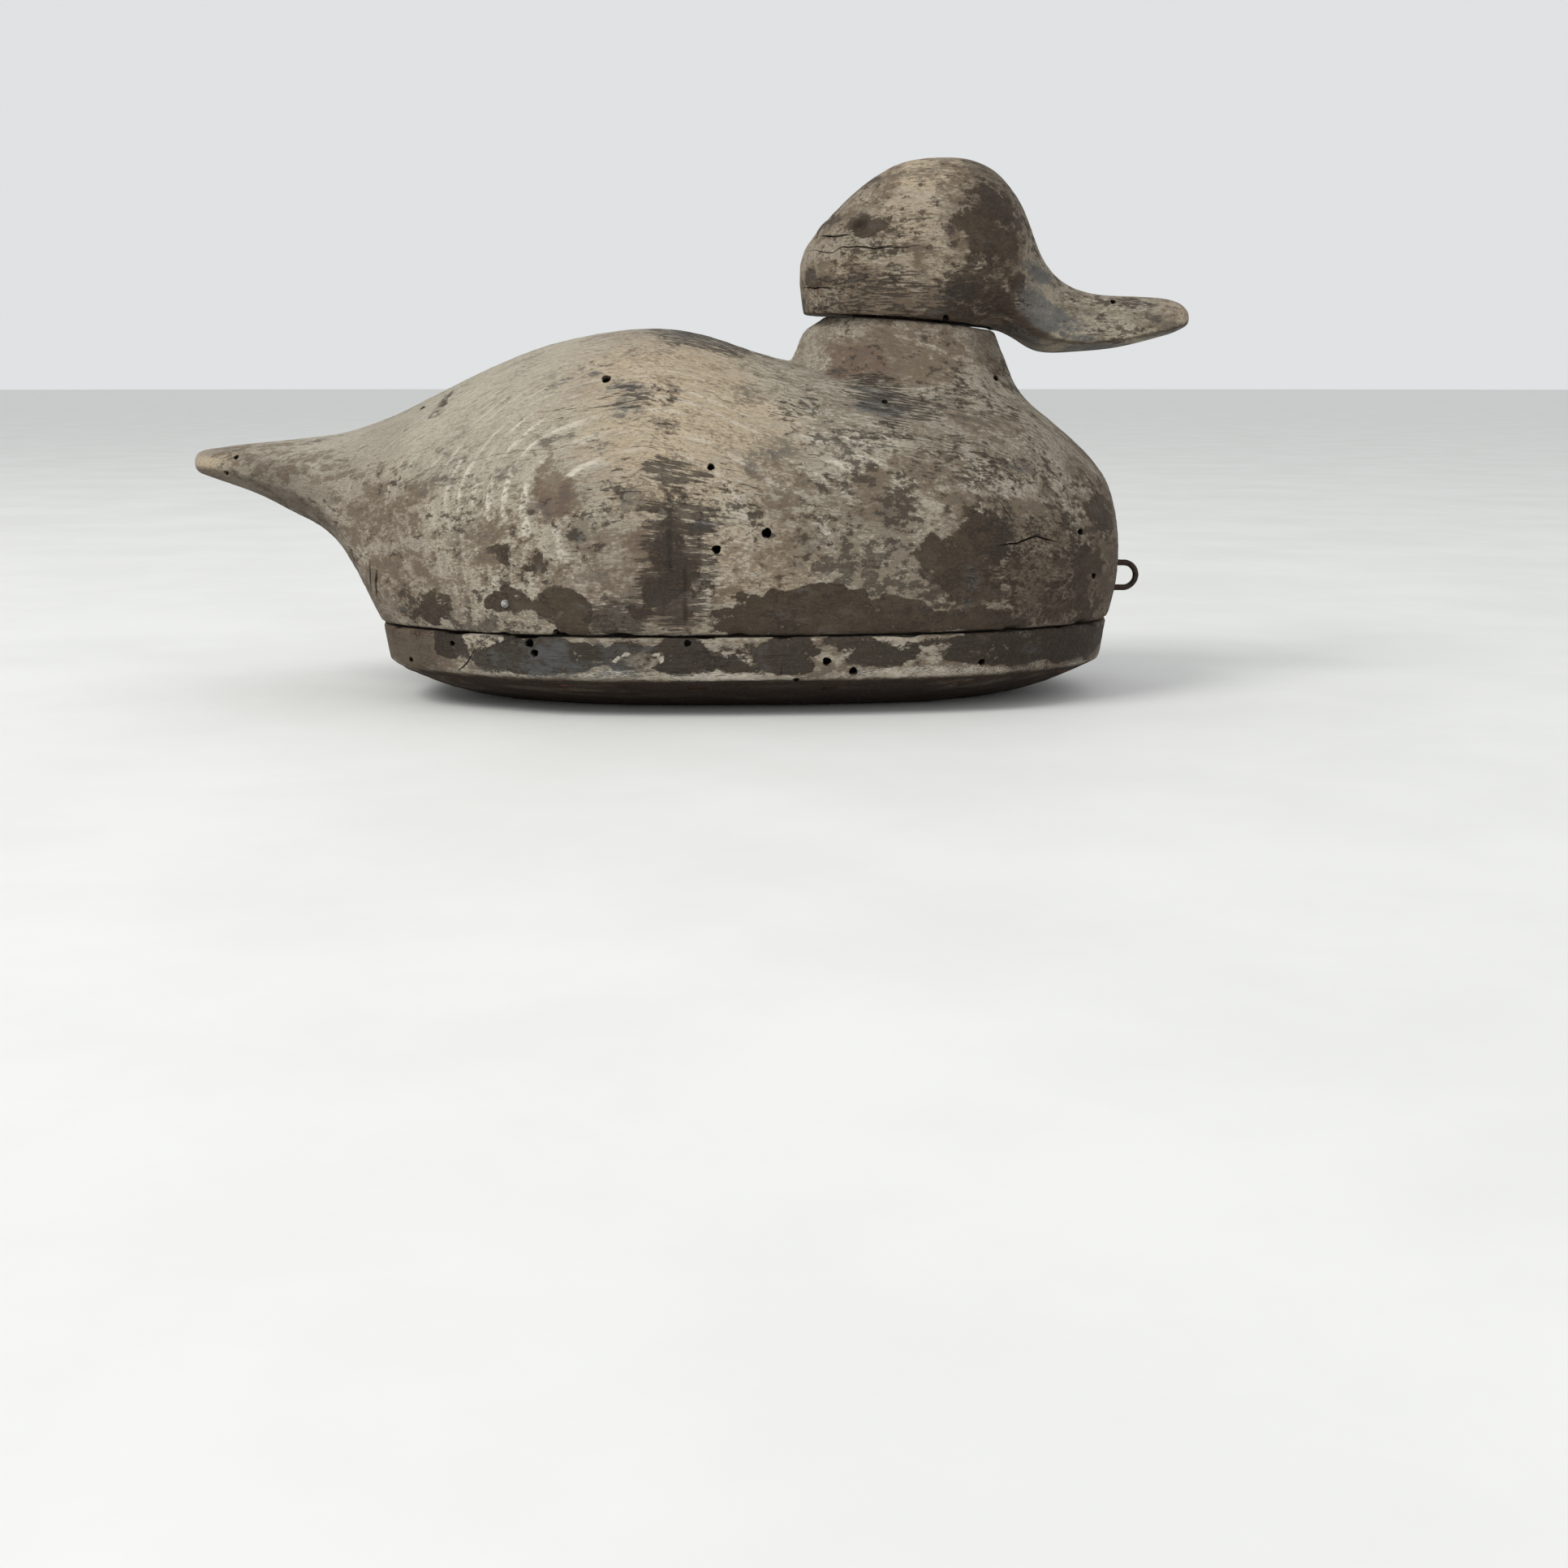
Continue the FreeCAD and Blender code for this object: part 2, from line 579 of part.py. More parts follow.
def neck_dowel():
    foot = pin_level() - PIN_RADIUS - DOWEL_TAIL
    dowel = axis_cylinder(DOWEL_RADIUS, foot, NECK_WASHER_THICKNESS + SOCKET_DEPTH)
    return dowel.cut(dowel_pin(PIN_RADIUS + GLUE_GAP))


def washer(outer, inner, low, thickness):
    return axis_cylinder(outer, low, low + thickness).cut(axis_cylinder(inner, low, low + thickness))


def neck_washer():
    """The washer that holds the head clear of the neck, dished to lie on the crowned seat."""
    thickness = NECK_WASHER_THICKNESS
    ring = washer(NECK_WASHER_RADIUS, DOWEL_RADIUS + WASHER_CLEARANCE, -SEAT_CROWN, SEAT_CROWN + thickness)
    return ring.common(below_seat(thickness)).cut(below_seat(0.0))


def retaining_washer():
    """The washer between the pin and the spotface, inside the hollow."""
    low = SPOTFACE - END_PLAY - RETAINING_WASHER_THICKNESS
    return washer(RETAINING_WASHER_RADIUS, DOWEL_RADIUS + GLUE_GAP, low, RETAINING_WASHER_THICKNESS)


def body_block(nails, pellet):
    """Back, tail, breast and neck in one block, hollowed from below and drilled for what it holds."""
    carved = hull().fuse(neck())
    block = carved.cut(box_between(Vector(-FAR, -FAR, -FAR), Vector(FAR, FAR, SEAM_TOP)))
    block = block.cut(hollow())
    block = block.cut(axis_cylinder(DOWEL_RADIUS + DOWEL_CLEARANCE, -FAR, FAR))
    spotface = axis_cylinder(RETAINING_WASHER_RADIUS + SPOTFACE_MARGIN, -FAR, SPOTFACE)
    ball = Part.makeSphere(PELLET_RADIUS + GLUE_GAP, pellet)
    return block.cut([spotface, loop_wire(WIRE_RADIUS + GLUE_GAP), ball] + nails)


def head():
    """Head, chin and bill in one block, with its socket for the dowel."""
    long = HEAD_LENGTH / DRAWN_HEAD_LENGTH
    high = HEAD_HEIGHT / DRAWN_HEAD_HEIGHT
    stations = stretched(HEAD_STATIONS, long, high, HEAD_WIDTH / DRAWN_HEAD_WIDTH, NECK_X, HEAD_LEVEL)
    tips = [Vector(NECK_X + x * long, 0, HEAD_LEVEL + z * high) for x, z in (HEAD_BACK_TIP, BILL_TIP)]
    block = faired_solid(tips[0], [section_ring(station) for station in stations], tips[1])
    block = block.cut(below_seat(NECK_WASHER_THICKNESS).common(behind(CHIN_X * long)))
    return block.cut(axis_cylinder(DOWEL_RADIUS + GLUE_GAP, 0.0, NECK_WASHER_THICKNESS + SOCKET_DEPTH))


def seam_caulk(nails):
    """A thin bead between body and board, set back from the outside."""
    outer = slab(seam_outline(CAULK_SETBACK), BOARD_THICKNESS, SEAM_TOP)
    inner = slab(seam_outline(CAULK_SETBACK + CAULK_WIDTH), BOARD_THICKNESS, SEAM_TOP)
    return outer.cut([inner] + nails)


def build():
    """Every piece by name."""
    blank = board_blank()
    nails, pits = bottom_nails(blank)
    lead = ballast_blank(0.0, BALLAST_RECESS, BALLAST_RECESS + BALLAST_THICKNESS)
    lead_pocket = ballast_blank(GLUE_GAP, -BALLAST_THICKNESS, BALLAST_RECESS + BALLAST_THICKNESS)
    lead_nails = ballast_nails()
    pellet = pellet_centre(hull())
    return {
        "body_block": body_block(nails, pellet),
        "bottom_board": blank.cut([lead_pocket] + nails + pits + lead_nails),
        "seam_caulk": seam_caulk(nails),
        "head": head(),
        "neck_dowel": neck_dowel(),
        "neck_washer": neck_washer(),
        "retaining_washer": retaining_washer(),
        "dowel_pin": dowel_pin(PIN_RADIUS),
        "bottom_nails": Part.makeCompound(nails),
        "ballast_weight": lead.cut(lead_nails),
        "ballast_nails": Part.makeCompound(lead_nails),
        "line_tie_staple": loop_wire(WIRE_RADIUS),
        "lead_pellet": Part.makeSphere(PELLET_RADIUS, pellet),
    }


os.makedirs("parts", exist_ok=True)
for name, shape in build().items():
    shape.exportStep(f"parts/{name}.step")
    print(f"{name}: {len(shape.Solids)} solids, {shape.Volume / 1000:.1f} cm3, valid {shape.isValid()}")
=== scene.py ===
"""Looks of the floating duck decoy: bare, weathered wood with worn paint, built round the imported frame.

Everything is in metres in the frame's own axes. Places on the decoy are written in millimetres and
multiplied by MM. The right side, y below 0, is the one that faces the camera.
"""

import functools
import itertools
import json
import math

import bmesh
import bpy
import numpy as np
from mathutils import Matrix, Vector
from mathutils.bvhtree import BVHTree


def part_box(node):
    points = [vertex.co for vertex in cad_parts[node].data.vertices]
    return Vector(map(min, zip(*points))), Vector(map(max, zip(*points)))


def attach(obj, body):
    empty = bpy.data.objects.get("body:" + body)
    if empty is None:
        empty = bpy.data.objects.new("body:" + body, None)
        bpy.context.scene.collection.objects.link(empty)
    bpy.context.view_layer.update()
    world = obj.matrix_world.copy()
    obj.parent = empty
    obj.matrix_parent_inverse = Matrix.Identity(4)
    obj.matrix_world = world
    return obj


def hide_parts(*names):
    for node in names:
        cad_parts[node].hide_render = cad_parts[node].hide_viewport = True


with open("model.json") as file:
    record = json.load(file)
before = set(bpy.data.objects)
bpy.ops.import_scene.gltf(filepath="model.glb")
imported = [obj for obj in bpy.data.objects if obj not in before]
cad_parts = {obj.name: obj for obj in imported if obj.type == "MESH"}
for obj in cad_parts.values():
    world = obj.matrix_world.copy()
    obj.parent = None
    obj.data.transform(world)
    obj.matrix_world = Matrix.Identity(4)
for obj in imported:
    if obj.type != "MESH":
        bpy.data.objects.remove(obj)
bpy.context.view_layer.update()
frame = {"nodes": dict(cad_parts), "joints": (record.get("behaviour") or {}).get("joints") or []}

MM = 0.001
RIGHT, LEFT = -1, 1

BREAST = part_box("body_block")[1].x
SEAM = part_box("bottom_board")[1].z / MM  # height of the seam, in mm
HEAD_JOINT = next(joint for joint in frame["joints"] if joint["name"] == "head_turn")
NECK = Vector(HEAD_JOINT["pos_m"]) / MM  # middle of the neck's top, in mm

# ------------------------ noise and masks


def hashed(cell, seed):
    """A repeatable random number from 0 to 1 for each cell of a grid."""
    mixed = cell @ np.array([374761393, 668265263, 1274126177], dtype=np.int64) + seed * 97456277
    mixed = (mixed ^ (mixed >> 13)) * 1103515245
    mixed = (mixed ^ (mixed >> 16)) & 0xFFFFFF
    return mixed / 0xFFFFFF


def noise(points, size, seed):
    """Smooth noise from 0 to 1 with features of this size. One size per axis makes streaks.

    The seed picks the pattern, and the same seed always gives the same one.
    """
    scaled = points / np.asarray(size, float)
    cell = np.floor(scaled).astype(np.int64)
    t = scaled - cell
    t = t * t * (3 - 2 * t)
    total = np.zeros(len(points))
    for corner in itertools.product((0, 1), repeat=3):
        weight = np.prod(np.where(corner, t, 1 - t), axis=1)
        total += weight * hashed(cell + np.array(corner), seed)
    return total


def layered(points, size, seed, layers):
    """Noise with ever finer and weaker layers, from 0 to 1."""
    shares = [0.5**k for k in range(layers)]
    size = np.asarray(size, float)
    total = sum(share * noise(points, size * share, seed + k) for k, share in enumerate(shares))
    return total / sum(shares)


def fade(value, low, high):
    """0 below low, 1 above high and smooth between them. Low may be the higher of the two."""
    t = np.clip((value - low) / (high - low), 0, 1)
    return t * t * (3 - 2 * t)


def blobs(x, z, places):
    """The strongest of several soft ovals.

    Each has its middle's x and z, its half sizes, its slope in degrees and its strength.
    """
    total = np.zeros(len(x))
    for middle_x, middle_z, half_x, half_z, slope, strength in places:
        turn = math.radians(slope)
        dx, dz = x - middle_x, z - middle_z
        along = dx * math.cos(turn) + dz * math.sin(turn)
        across = dz * math.cos(turn) - dx * math.sin(turn)
        reach = np.sqrt((along / half_x) ** 2 + (across / half_z) ** 2)
        total = np.maximum(total, strength * fade(reach, 1.5, 0.5))
    return total


def strongest(*masks):
    return functools.reduce(np.maximum, masks)


def on_each_side(y, x, z, places):
    """Blobs at one set of places on the right side and another on the left."""
    return np.where(y < 0, blobs(x, z, places[RIGHT]), blobs(x, z, places[LEFT]))


def astray(points, amount, size, seed):
    """The x and z of points, each moved by up to this amount, so that outlines come out ragged."""
    x, _, z = points.T
    shift_x = 2 * layered(points, size, seed, 3) - 1
    shift_z = 2 * layered(points, size, seed + 7, 3) - 1
    return x + amount * shift_x, z + amount * shift_z


# ------------------------ meshes


def coordinates(mesh):
    values = np.zeros(len(mesh.vertices) * 3)
    mesh.vertices.foreach_get("co", values)
    return values.reshape(-1, 3)


def set_coordinates(mesh, values):
    mesh.vertices.foreach_set("co", values.ravel())
    mesh.update()


def normals(mesh):
    values = np.zeros(len(mesh.vertices) * 3)
    mesh.vertex_normals.foreach_get("vector", values)
    return values.reshape(-1, 3)


def soften(mesh, weight, rounds):
    """Draw each vertex towards the mean of its neighbours, by one weight for all or one for each."""
    points = coordinates(mesh)
    ends = np.zeros(len(mesh.edges) * 2, dtype=np.int64)
    mesh.edges.foreach_get("vertices", ends)
    first, second = ends.reshape(-1, 2).T
    count = len(points)
    neighbours = np.bincount(first, minlength=count) + np.bincount(second, minlength=count)
    for _ in range(rounds):
        sums = [
            np.bincount(first, points[second, k], count) + np.bincount(second, points[first, k], count)
            for k in range(3)
        ]
        mean = np.stack(sums, axis=1) / neighbours[:, None]
        points = points + (mean - points) * np.reshape(weight, (-1, 1))
    set_coordinates(mesh, points)


def settle(piece):
    """Turn a piece's modifiers into its mesh."""
    shown = piece.evaluated_get(bpy.context.evaluated_depsgraph_get())
    mesh = bpy.data.meshes.new_from_object(shown)
    piece.modifiers.clear()
    piece.data = mesh


def add_object(name, data):
    added = bpy.data.objects.new(name, data)
    bpy.context.scene.collection.objects.link(added)
    return added


def new_piece(name, bm):
    """A piece made of a finished bmesh, which is freed."""
    mesh = bpy.data.meshes.new(name)
    bm.to_mesh(mesh)
    bm.free()
    return add_object(name, mesh)


def tube(bm, rings):
    """Faces from each ring of vertices to the next, closed at both ends."""
    for one, two in zip(rings, rings[1:]):
        for k in range(len(one)):
            n = (k + 1) % len(one)
            bm.faces.new((one[k], one[n], two[n], two[k]))
    bm.faces.new(rings[0][::-1])
    bm.faces.new(rings[-1])


def modifier(piece, kind, **settings):
    added = piece.modifiers.new(kind.title(), kind)
    for key, value in settings.items():
        setattr(added, key, value)


def carved_copy(node, name, grain):
    """The CAD piece as an even mesh of this grain, fine enough to carve wear into."""
    source = frame["nodes"][node]
    piece = add_object(name, source.data.copy())
    modifier(piece, "REMESH", mode="VOXEL", voxel_size=grain, adaptivity=0.0)
    settle(piece)
    soften(piece.data, 0.5, 3)
    modifier(piece, "SHRINKWRAP", wrap_method="NEAREST_SURFACEPOINT", target=source)
    settle(piece)
    soften(piece.data, 0.4, 1)
    return piece


def displace(piece, heights):
    """Move each vertex along its normal, by heights in millimetres."""
    mesh = piece.data
    set_coordinates(mesh, coordinates(mesh) + normals(mesh) * heights[:, None] * MM)


SHARP_EDGE = 50  # degrees


def finish_mesh(piece, material, body, node):
    """Smooth shading with crisp edges, a material, and the body that the piece moves with."""
    mesh = piece.data
    mesh.materials.clear()
    mesh.materials.append(material)
    mesh.polygons.foreach_set("use_smooth", np.ones(len(mesh.polygons), dtype=bool))
    mesh.set_sharp_from_angle(angle=math.radians(SHARP_EDGE))
    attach(piece, body)
    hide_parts(node)


# ------------------------ cuts: shot holes, cracks and nail holes

WELL_OUTSIDE = 0.3  # metres from the middle plane


def tree_of(piece):
    return BVHTree.FromObject(piece, bpy.context.evaluated_depsgraph_get())


def spot_on(tree, x, z, side):
    """Where a line across the decoy first meets the surface, and the normal there. x and z are in mm."""
    start = Vector((x * MM, side * WELL_OUTSIDE, z * MM))
    place, normal, _, _ = tree.ray_cast(start, Vector((0, -side, 0)))
    return place, normal


HOLE_SIDES = 14
# How wide a hole is at its mouth: heights above the surface in mm, and shares of its radius
HOLE_LEVELS = ((0.8, 1.18), (0.0, 1.12), (-0.35, 0.98))
HOLE_END = 0.8  # share of the radius at its bottom


def hole_cutter(bm, place, entry, radius, depth, turn):
    """A round hole along the line of entry, a little ragged and wider at its mouth."""
    across = entry.orthogonal().normalized()
    other = entry.cross(across)
    rings = []
    for level, width in (*HOLE_LEVELS, (-depth, HOLE_END)):
        ring = []
        for k in range(HOLE_SIDES):
            angle = 2 * math.pi * k / HOLE_SIDES
            ragged = 1 + 0.09 * math.sin(3 * angle + turn) + 0.06 * math.sin(5 * angle + 2.3 * turn)
            reach = radius * width * ragged * MM
            spoke = across * math.cos(angle) * reach + other * math.sin(angle) * reach
            ring.append(bm.verts.new(place + entry * level * MM + spoke))
        rings.append(ring)
    tube(bm, rings)


CRACK_STEP = 1.6
CRACK_WANDER = 0.9
CRACK_ABOVE = 0.4  # how far the wedge stands out of the surface
CRACK_SEED = 40


def crack_path(route, seed):
    """More points along a crack's route, each a little off it, so that the crack wanders with the grain."""
    points = []
    for (x0, z0), (x1, z1) in zip(route, route[1:]):
        steps = max(2, round(math.hypot(x1 - x0, z1 - z0) / CRACK_STEP))
        for k in range(steps):
            t = k / steps
            points.append((x0 + (x1 - x0) * t, z0 + (z1 - z0) * t))
    points.append(route[-1])
    wander = noise(np.array([(x, z, 0.0) for x, z in points]), 3.0, seed) - 0.5
    return [(x, z + CRACK_WANDER * w) for (x, z), w in zip(points, wander)]


def crack_cutter(bm, tree, route, width, depth, seed, side):
    """A split along a route of (x, z) places: a wedge that narrows to nothing at both ends."""
    spots = [spot_on(tree, x, z, side) for x, z in crack_path(route, seed)]
    last = len(spots) - 1
    rows = []
    for k, (place, normal) in enumerate(spots):
        along = (spots[min(k + 1, last)][0] - spots[max(k - 1, 0)][0]).normalized()
        beside = normal.cross(along).normalized()
        share = max(math.sin(math.pi * (k + 0.3) / (last + 0.6)), 0.08) ** 0.6
        half = beside * width * share * MM
        top = place + normal * CRACK_ABOVE * MM
        tip = place - normal * depth * share * MM
        rows.append([bm.verts.new(corner) for corner in (top + half, top - half, tip)])
    tube(bm, rows)


OUTWARD = 1.5  # how far a hole leans from the surface's normal towards the side it came from


def cut(piece, holes, cracks):
    """Take holes and cracks out of a piece, and return the surface as it was."""
    whole = tree_of(piece)
    bm = bmesh.new()
    for number, (x, z, radius, depth, side) in enumerate(holes):
        place, normal = spot_on(whole, x, z, side)
        entry = (normal + Vector((0, OUTWARD * side, 0))).normalized()
        hole_cutter(bm, place, entry, radius, depth, number * 1.7)
    for number, (route, width, depth, side) in enumerate(cracks):
        crack_cutter(bm, whole, route, width, depth, CRACK_SEED + number, side)
    bmesh.ops.recalc_face_normals(bm, faces=bm.faces)
    cutter = new_piece("cuts", bm)
    modifier(piece, "BOOLEAN", operation="DIFFERENCE", solver="MANIFOLD", object=cutter)
    settle(piece)
    bpy.data.objects.remove(cutter)
    return whole


def store(mesh, name, kind, field, values):
    """A value, vector or colour for each vertex, under a name that materials read."""
    attribute = mesh.attributes.new(name, kind, "POINT")
    attribute.data.foreach_set(field, np.ascontiguousarray(values, dtype=np.float32).ravel())


CHANNELS = {
    "coat": ("paint", "green", "tan"),
    "stain": ("speck", "dirt_and_shade", "red"),
    "light": ("pale", "lines", "blue"),
    "mark": ("brown", "dash", "shade"),
}


def set_wear(piece, whole, flow, ring, wear):
    """Store what the wood's material reads at each vertex, with three amounts in each colour.

    Pits are the walls of cuts: places that lie away from the surface as it was when whole. The material
    paints them dark as shade.
    """
    mesh = piece.data
    depth = np.array([whole.find_nearest(Vector(place))[3] for place in coordinates(mesh)]) / MM
    store(mesh, "flow", "FLOAT_VECTOR", "vector", flow * MM)
    store(mesh, "ring", "FLOAT", "value", ring)
    store(mesh, "pit_shade", "FLOAT", "value", fade(depth, 0.15, 0.9))
    for name, amounts in CHANNELS.items():
        columns = [wear[amount] for amount in amounts] + [np.ones(len(mesh.vertices))]
        store(mesh, name, "FLOAT_COLOR", "color", np.stack(columns, axis=1))


# ------------------------ materials


def srgb(red, green, blue):
    """A colour given as 0 to 255, for a shader."""
    shares = [value / 255 for value in (red, green, blue)]
    return tuple(s / 12.92 if s <= 0.04045 else ((s + 0.055) / 1.055) ** 2.4 for s in shares) + (1.0,)


class Graph:
    """A material's nodes, added by short calls. Those for patterns and sums return an output socket."""

    def __init__(self, name):
        self.material = bpy.data.materials.new(name)
        self.material.use_nodes = True
        self.nodes = self.material.node_tree.nodes
        self.links = self.material.node_tree.links
        self.shader = self.nodes["Principled BSDF"]

    def put(self, socket, value):
        if isinstance(value, bpy.types.NodeSocket):
            self.links.new(value, socket)
        else:
            socket.default_value = value

    def add(self, kind, **settings):
        node = self.nodes.new(kind)
        for key, value in settings.items():
            setattr(node, key, value)
        return node

    def attribute(self, name):
        return self.add("ShaderNodeAttribute", attribute_name=name)

    def channels(self, name):
        split = self.add("ShaderNodeSeparateColor")
        self.put(split.inputs[0], self.attribute(name).outputs["Color"])
        return split.outputs[0], split.outputs[1], split.outputs[2]

    def place(self):
        return self.add("ShaderNodeTexCoord").outputs["Object"]

    def math(self, operation, *values):
        node = self.add("ShaderNodeMath", operation=operation)
        for socket, value in zip(node.inputs, values):
            self.put(socket, value)
        return node.outputs[0]

    def weighted(self, first, *others):
        """The sum of pairs of a value and its weight."""
        total = self.math("MULTIPLY", *first)
        for other in others:
            total = self.math("ADD", total, self.math("MULTIPLY", *other))
        return total

    def stretch(self, vector, x, y, z):
        node = self.add("ShaderNodeVectorMath", operation="MULTIPLY")
        self.put(node.inputs[0], vector)
        self.put(node.inputs[1], (x, y, z))
        return node.outputs[0]

    def noise(self, vector, scale, detail, roughness, distortion=0.0):
        node = self.add("ShaderNodeTexNoise")
        self.put(node.inputs["Vector"], vector)
        settings = {"Scale": scale, "Detail": detail, "Roughness": roughness, "Distortion": distortion}
        for key, value in settings.items():
            self.put(node.inputs[key], value)
        return node.outputs[0]

    def fade(self, value, low, high):
        node = self.add("ShaderNodeMapRange", interpolation_type="SMOOTHSTEP")
        for key, setting in (("Value", value), ("From Min", low), ("From Max", high)):
            self.put(node.inputs[key], setting)
        return node.outputs[0]

    def mix(self, share, below, above):
        node = self.add("ShaderNodeMix", data_type="RGBA")
        self.put(node.inputs[0], share)
        self.put(node.inputs[6], below)
        self.put(node.inputs[7], above)
        return node.outputs[2]

    def bump(self, height, distance, strength):
        node = self.add("ShaderNodeBump")
        for key, value in (("Strength", strength), ("Distance", distance), ("Height", height)):
            self.put(node.inputs[key], value)
        self.put(self.shader.inputs["Normal"], node.outputs[0])

    def surface(self, colour, roughness, metallic=0.0, specular=0.3):
        self.put(self.shader.inputs["Base Color"], colour)
        self.put(self.shader.inputs["Roughness"], roughness)
        self.put(self.shader.inputs["Metallic"], metallic)
        self.put(self.shader.inputs["Specular IOR Level"], specular)
        return self.material


WOOD = {
    "grey": srgb(150, 140, 126),
    "beige": srgb(177, 168, 151),
    "tan": srgb(203, 181, 150),
    "fibre": srgb(104, 91, 78),
    "ridge": srgb(216, 208, 193),
    "green": srgb(165, 162, 146),
    "brown": srgb(104, 89, 73),
    "red": srgb(108, 89, 76),
    "paint": srgb(56, 45, 34),
    "paint_worn": srgb(75, 63, 50),
    "speck": srgb(54, 47, 41),
    "dirt_and_shade": srgb(62, 50, 40),
    "blue": srgb(88, 90, 91),
    "deep_shade": srgb(20, 15, 11),
}
BOARD_WOOD = WOOD | {
    "dirt_and_shade": srgb(40, 27, 19),
    "tan": srgb(170, 140, 106),
    "paint": srgb(44, 37, 30),
    "paint_worn": srgb(60, 51, 42),
}
HEAD_WOOD = WOOD | {"grey": srgb(140, 128, 113), "beige": srgb(166, 153, 136), "green": srgb(142, 142, 126)}


def weathered_wood(name, palette):
    """Bare wood gone grey, with growth rings, fibres, remains of paint, specks, stains, dirt and painted
    shade.
    """
    g = Graph(name)
    paint, green, tan = g.channels("coat")
    speck, dirt_and_shade, red = g.channels("stain")
    pale, lines, blue = g.channels("light")
    brown, dash, shade = g.channels("mark")
    flow = g.attribute("flow").outputs["Vector"]
    ring = g.attribute("ring").outputs["Fac"]
    pit_shade = g.attribute("pit_shade").outputs["Fac"]

    # Patterns stretched along the fibres
    fibre = g.noise(g.stretch(flow, 1, 7, 7), 130, 7, 0.62)
    hair = g.noise(g.stretch(flow, 1, 9, 9), 420, 4, 0.6)
    grit = g.noise(flow, 1100, 4, 0.7)
    cloud = g.noise(flow, 24, 5, 0.6)
    mottle = g.noise(g.stretch(flow, 1, 1.7, 1.7), 62, 12, 0.72, 0.2)
    flake = g.noise(g.stretch(flow, 1, 1.2, 1.2), 33, 14, 0.64, 0.1)
    fleck = g.noise(g.stretch(flow, 1, 2.4, 2.4), 480, 6, 0.68)
    dots = g.noise(g.stretch(flow, 1, 1.6, 1.6), 230, 8, 0.7)
    cluster = g.noise(flow, 48, 5, 0.6)
    thread = g.noise(g.stretch(flow, 1, 11, 11), 105, 8, 0.66)

    waves = g.math("SINE", g.weighted((ring, 2 * math.pi), (fibre, 2.2)))
    broken = g.fade(g.noise(g.stretch(flow, 1, 2, 2), 70, 3, 0.5), 0.4, 0.6)
    ridges = g.math("MULTIPLY", g.fade(waves, 0.45, 0.98), broken)

    def coat(amount, pattern, softness, spread=0.26):
        """Where a coat remains: hardly anywhere at an amount of 0 and nearly everywhere at 1."""
        level = g.math("ADD", pattern, g.math("MULTIPLY", g.math("SUBTRACT", amount, 0.5), spread))
        return g.fade(level, 0.5 - softness, 0.5 + softness)

    def lay(colour, share, strength, above):
        return g.mix(g.math("MULTIPLY", share, strength), colour, above)

    # Bare wood: clouds of grey and beige, fibres and growth rings
    colour = g.mix(g.fade(cloud, 0.36, 0.64), palette["grey"], palette["beige"])
    tan_wood = coat(tan, g.weighted((mottle, 0.5), (fibre, 0.5)), 0.12)
    colour = lay(colour, tan_wood, 0.62, palette["tan"])
    colour = lay(colour, coat(green, mottle, 0.12), 0.6, palette["green"])
    colour = lay(colour, g.fade(fibre, 0.5, 0.68), 0.5, palette["fibre"])
    colour = lay(colour, g.fade(hair, 0.5, 0.64), 0.46, palette["fibre"])
    colour = lay(colour, g.fade(hair, 0.46, 0.3), 0.34, palette["ridge"])
    colour = lay(colour, ridges, g.math("MULTIPLY", lines, 0.7), palette["ridge"])

    # Stains and remains of paint
    flecks = coat(g.math("MULTIPLY", speck, 0.86), g.weighted((mottle, 0.5), (fleck, 0.5)), 0.035, 0.36)
    colour = lay(colour, flecks, 0.62, palette["brown"])
    brown_stain = coat(brown, g.weighted((mottle, 0.5), (dots, 0.5)), 0.035)
    colour = lay(colour, brown_stain, 0.72, palette["brown"])
    red_stain = coat(red, g.weighted((mottle, 0.5), (flake, 0.5)), 0.03)
    colour = lay(colour, red_stain, 0.8, palette["red"])
    paint_left = coat(paint, g.weighted((flake, 0.7), (mottle, 0.3)), 0.012)
    paint_left = g.math("MULTIPLY", paint_left, g.fade(dots, 0.62, 0.59))
    paint_colour = g.mix(g.fade(mottle, 0.42, 0.66), palette["paint"], palette["paint_worn"])
    colour = lay(colour, paint_left, 0.94, paint_colour)
    colour = lay(colour, coat(blue, mottle, 0.08), 0.75, palette["blue"])

    # Dark dashes and specks, pale bloom, dirt with painted shade, and painted shade in cracks and holes
    dashes = coat(dash, g.weighted((thread, 0.75), (cluster, 0.25)), 0.02, 0.4)
    colour = lay(colour, dashes, 0.8, palette["speck"])
    specks = coat(g.math("MULTIPLY", speck, 0.62), g.weighted((dots, 0.6), (cluster, 0.4)), 0.02, 0.5)
    colour = lay(colour, specks, 0.72, palette["speck"])
    bloom = coat(pale, g.weighted((flake, 0.5), (hair, 0.5)), 0.05, 0.6)
    colour = lay(colour, bloom, 0.75, palette["ridge"])
    # Dirt and painted shade, laid in one dark colour
    soiled_and_shaded = g.math("MULTIPLY", dirt_and_shade, g.math("ADD", 0.55, g.math("MULTIPLY", mottle, 0.7)))
    colour = g.mix(soiled_and_shaded, colour, palette["dirt_and_shade"])
    colour = lay(colour, g.fade(grit, 0.45, 0.66), 0.2, palette["fibre"])
    colour = g.mix(shade, colour, palette["deep_shade"])
    # Painted shade: holes and cracks darken to near black the deeper a place lies
    colour = g.mix(g.fade(pit_shade, 0.12, 0.75), colour, palette["deep_shade"])

    grooves = g.weighted((fibre, -0.9), (hair, -0.5), (specks, -0.25), (dashes, -0.3))
    relief = g.math("ADD", grooves, g.weighted((grit, 0.3), (ridges, 0.3), (paint_left, 0.2)))
    g.bump(relief, 0.0007, 0.85)
    rough = g.math("ADD", 0.82, g.math("MULTIPLY", paint_left, -0.12))
    return g.surface(colour, rough, specular=0.22)


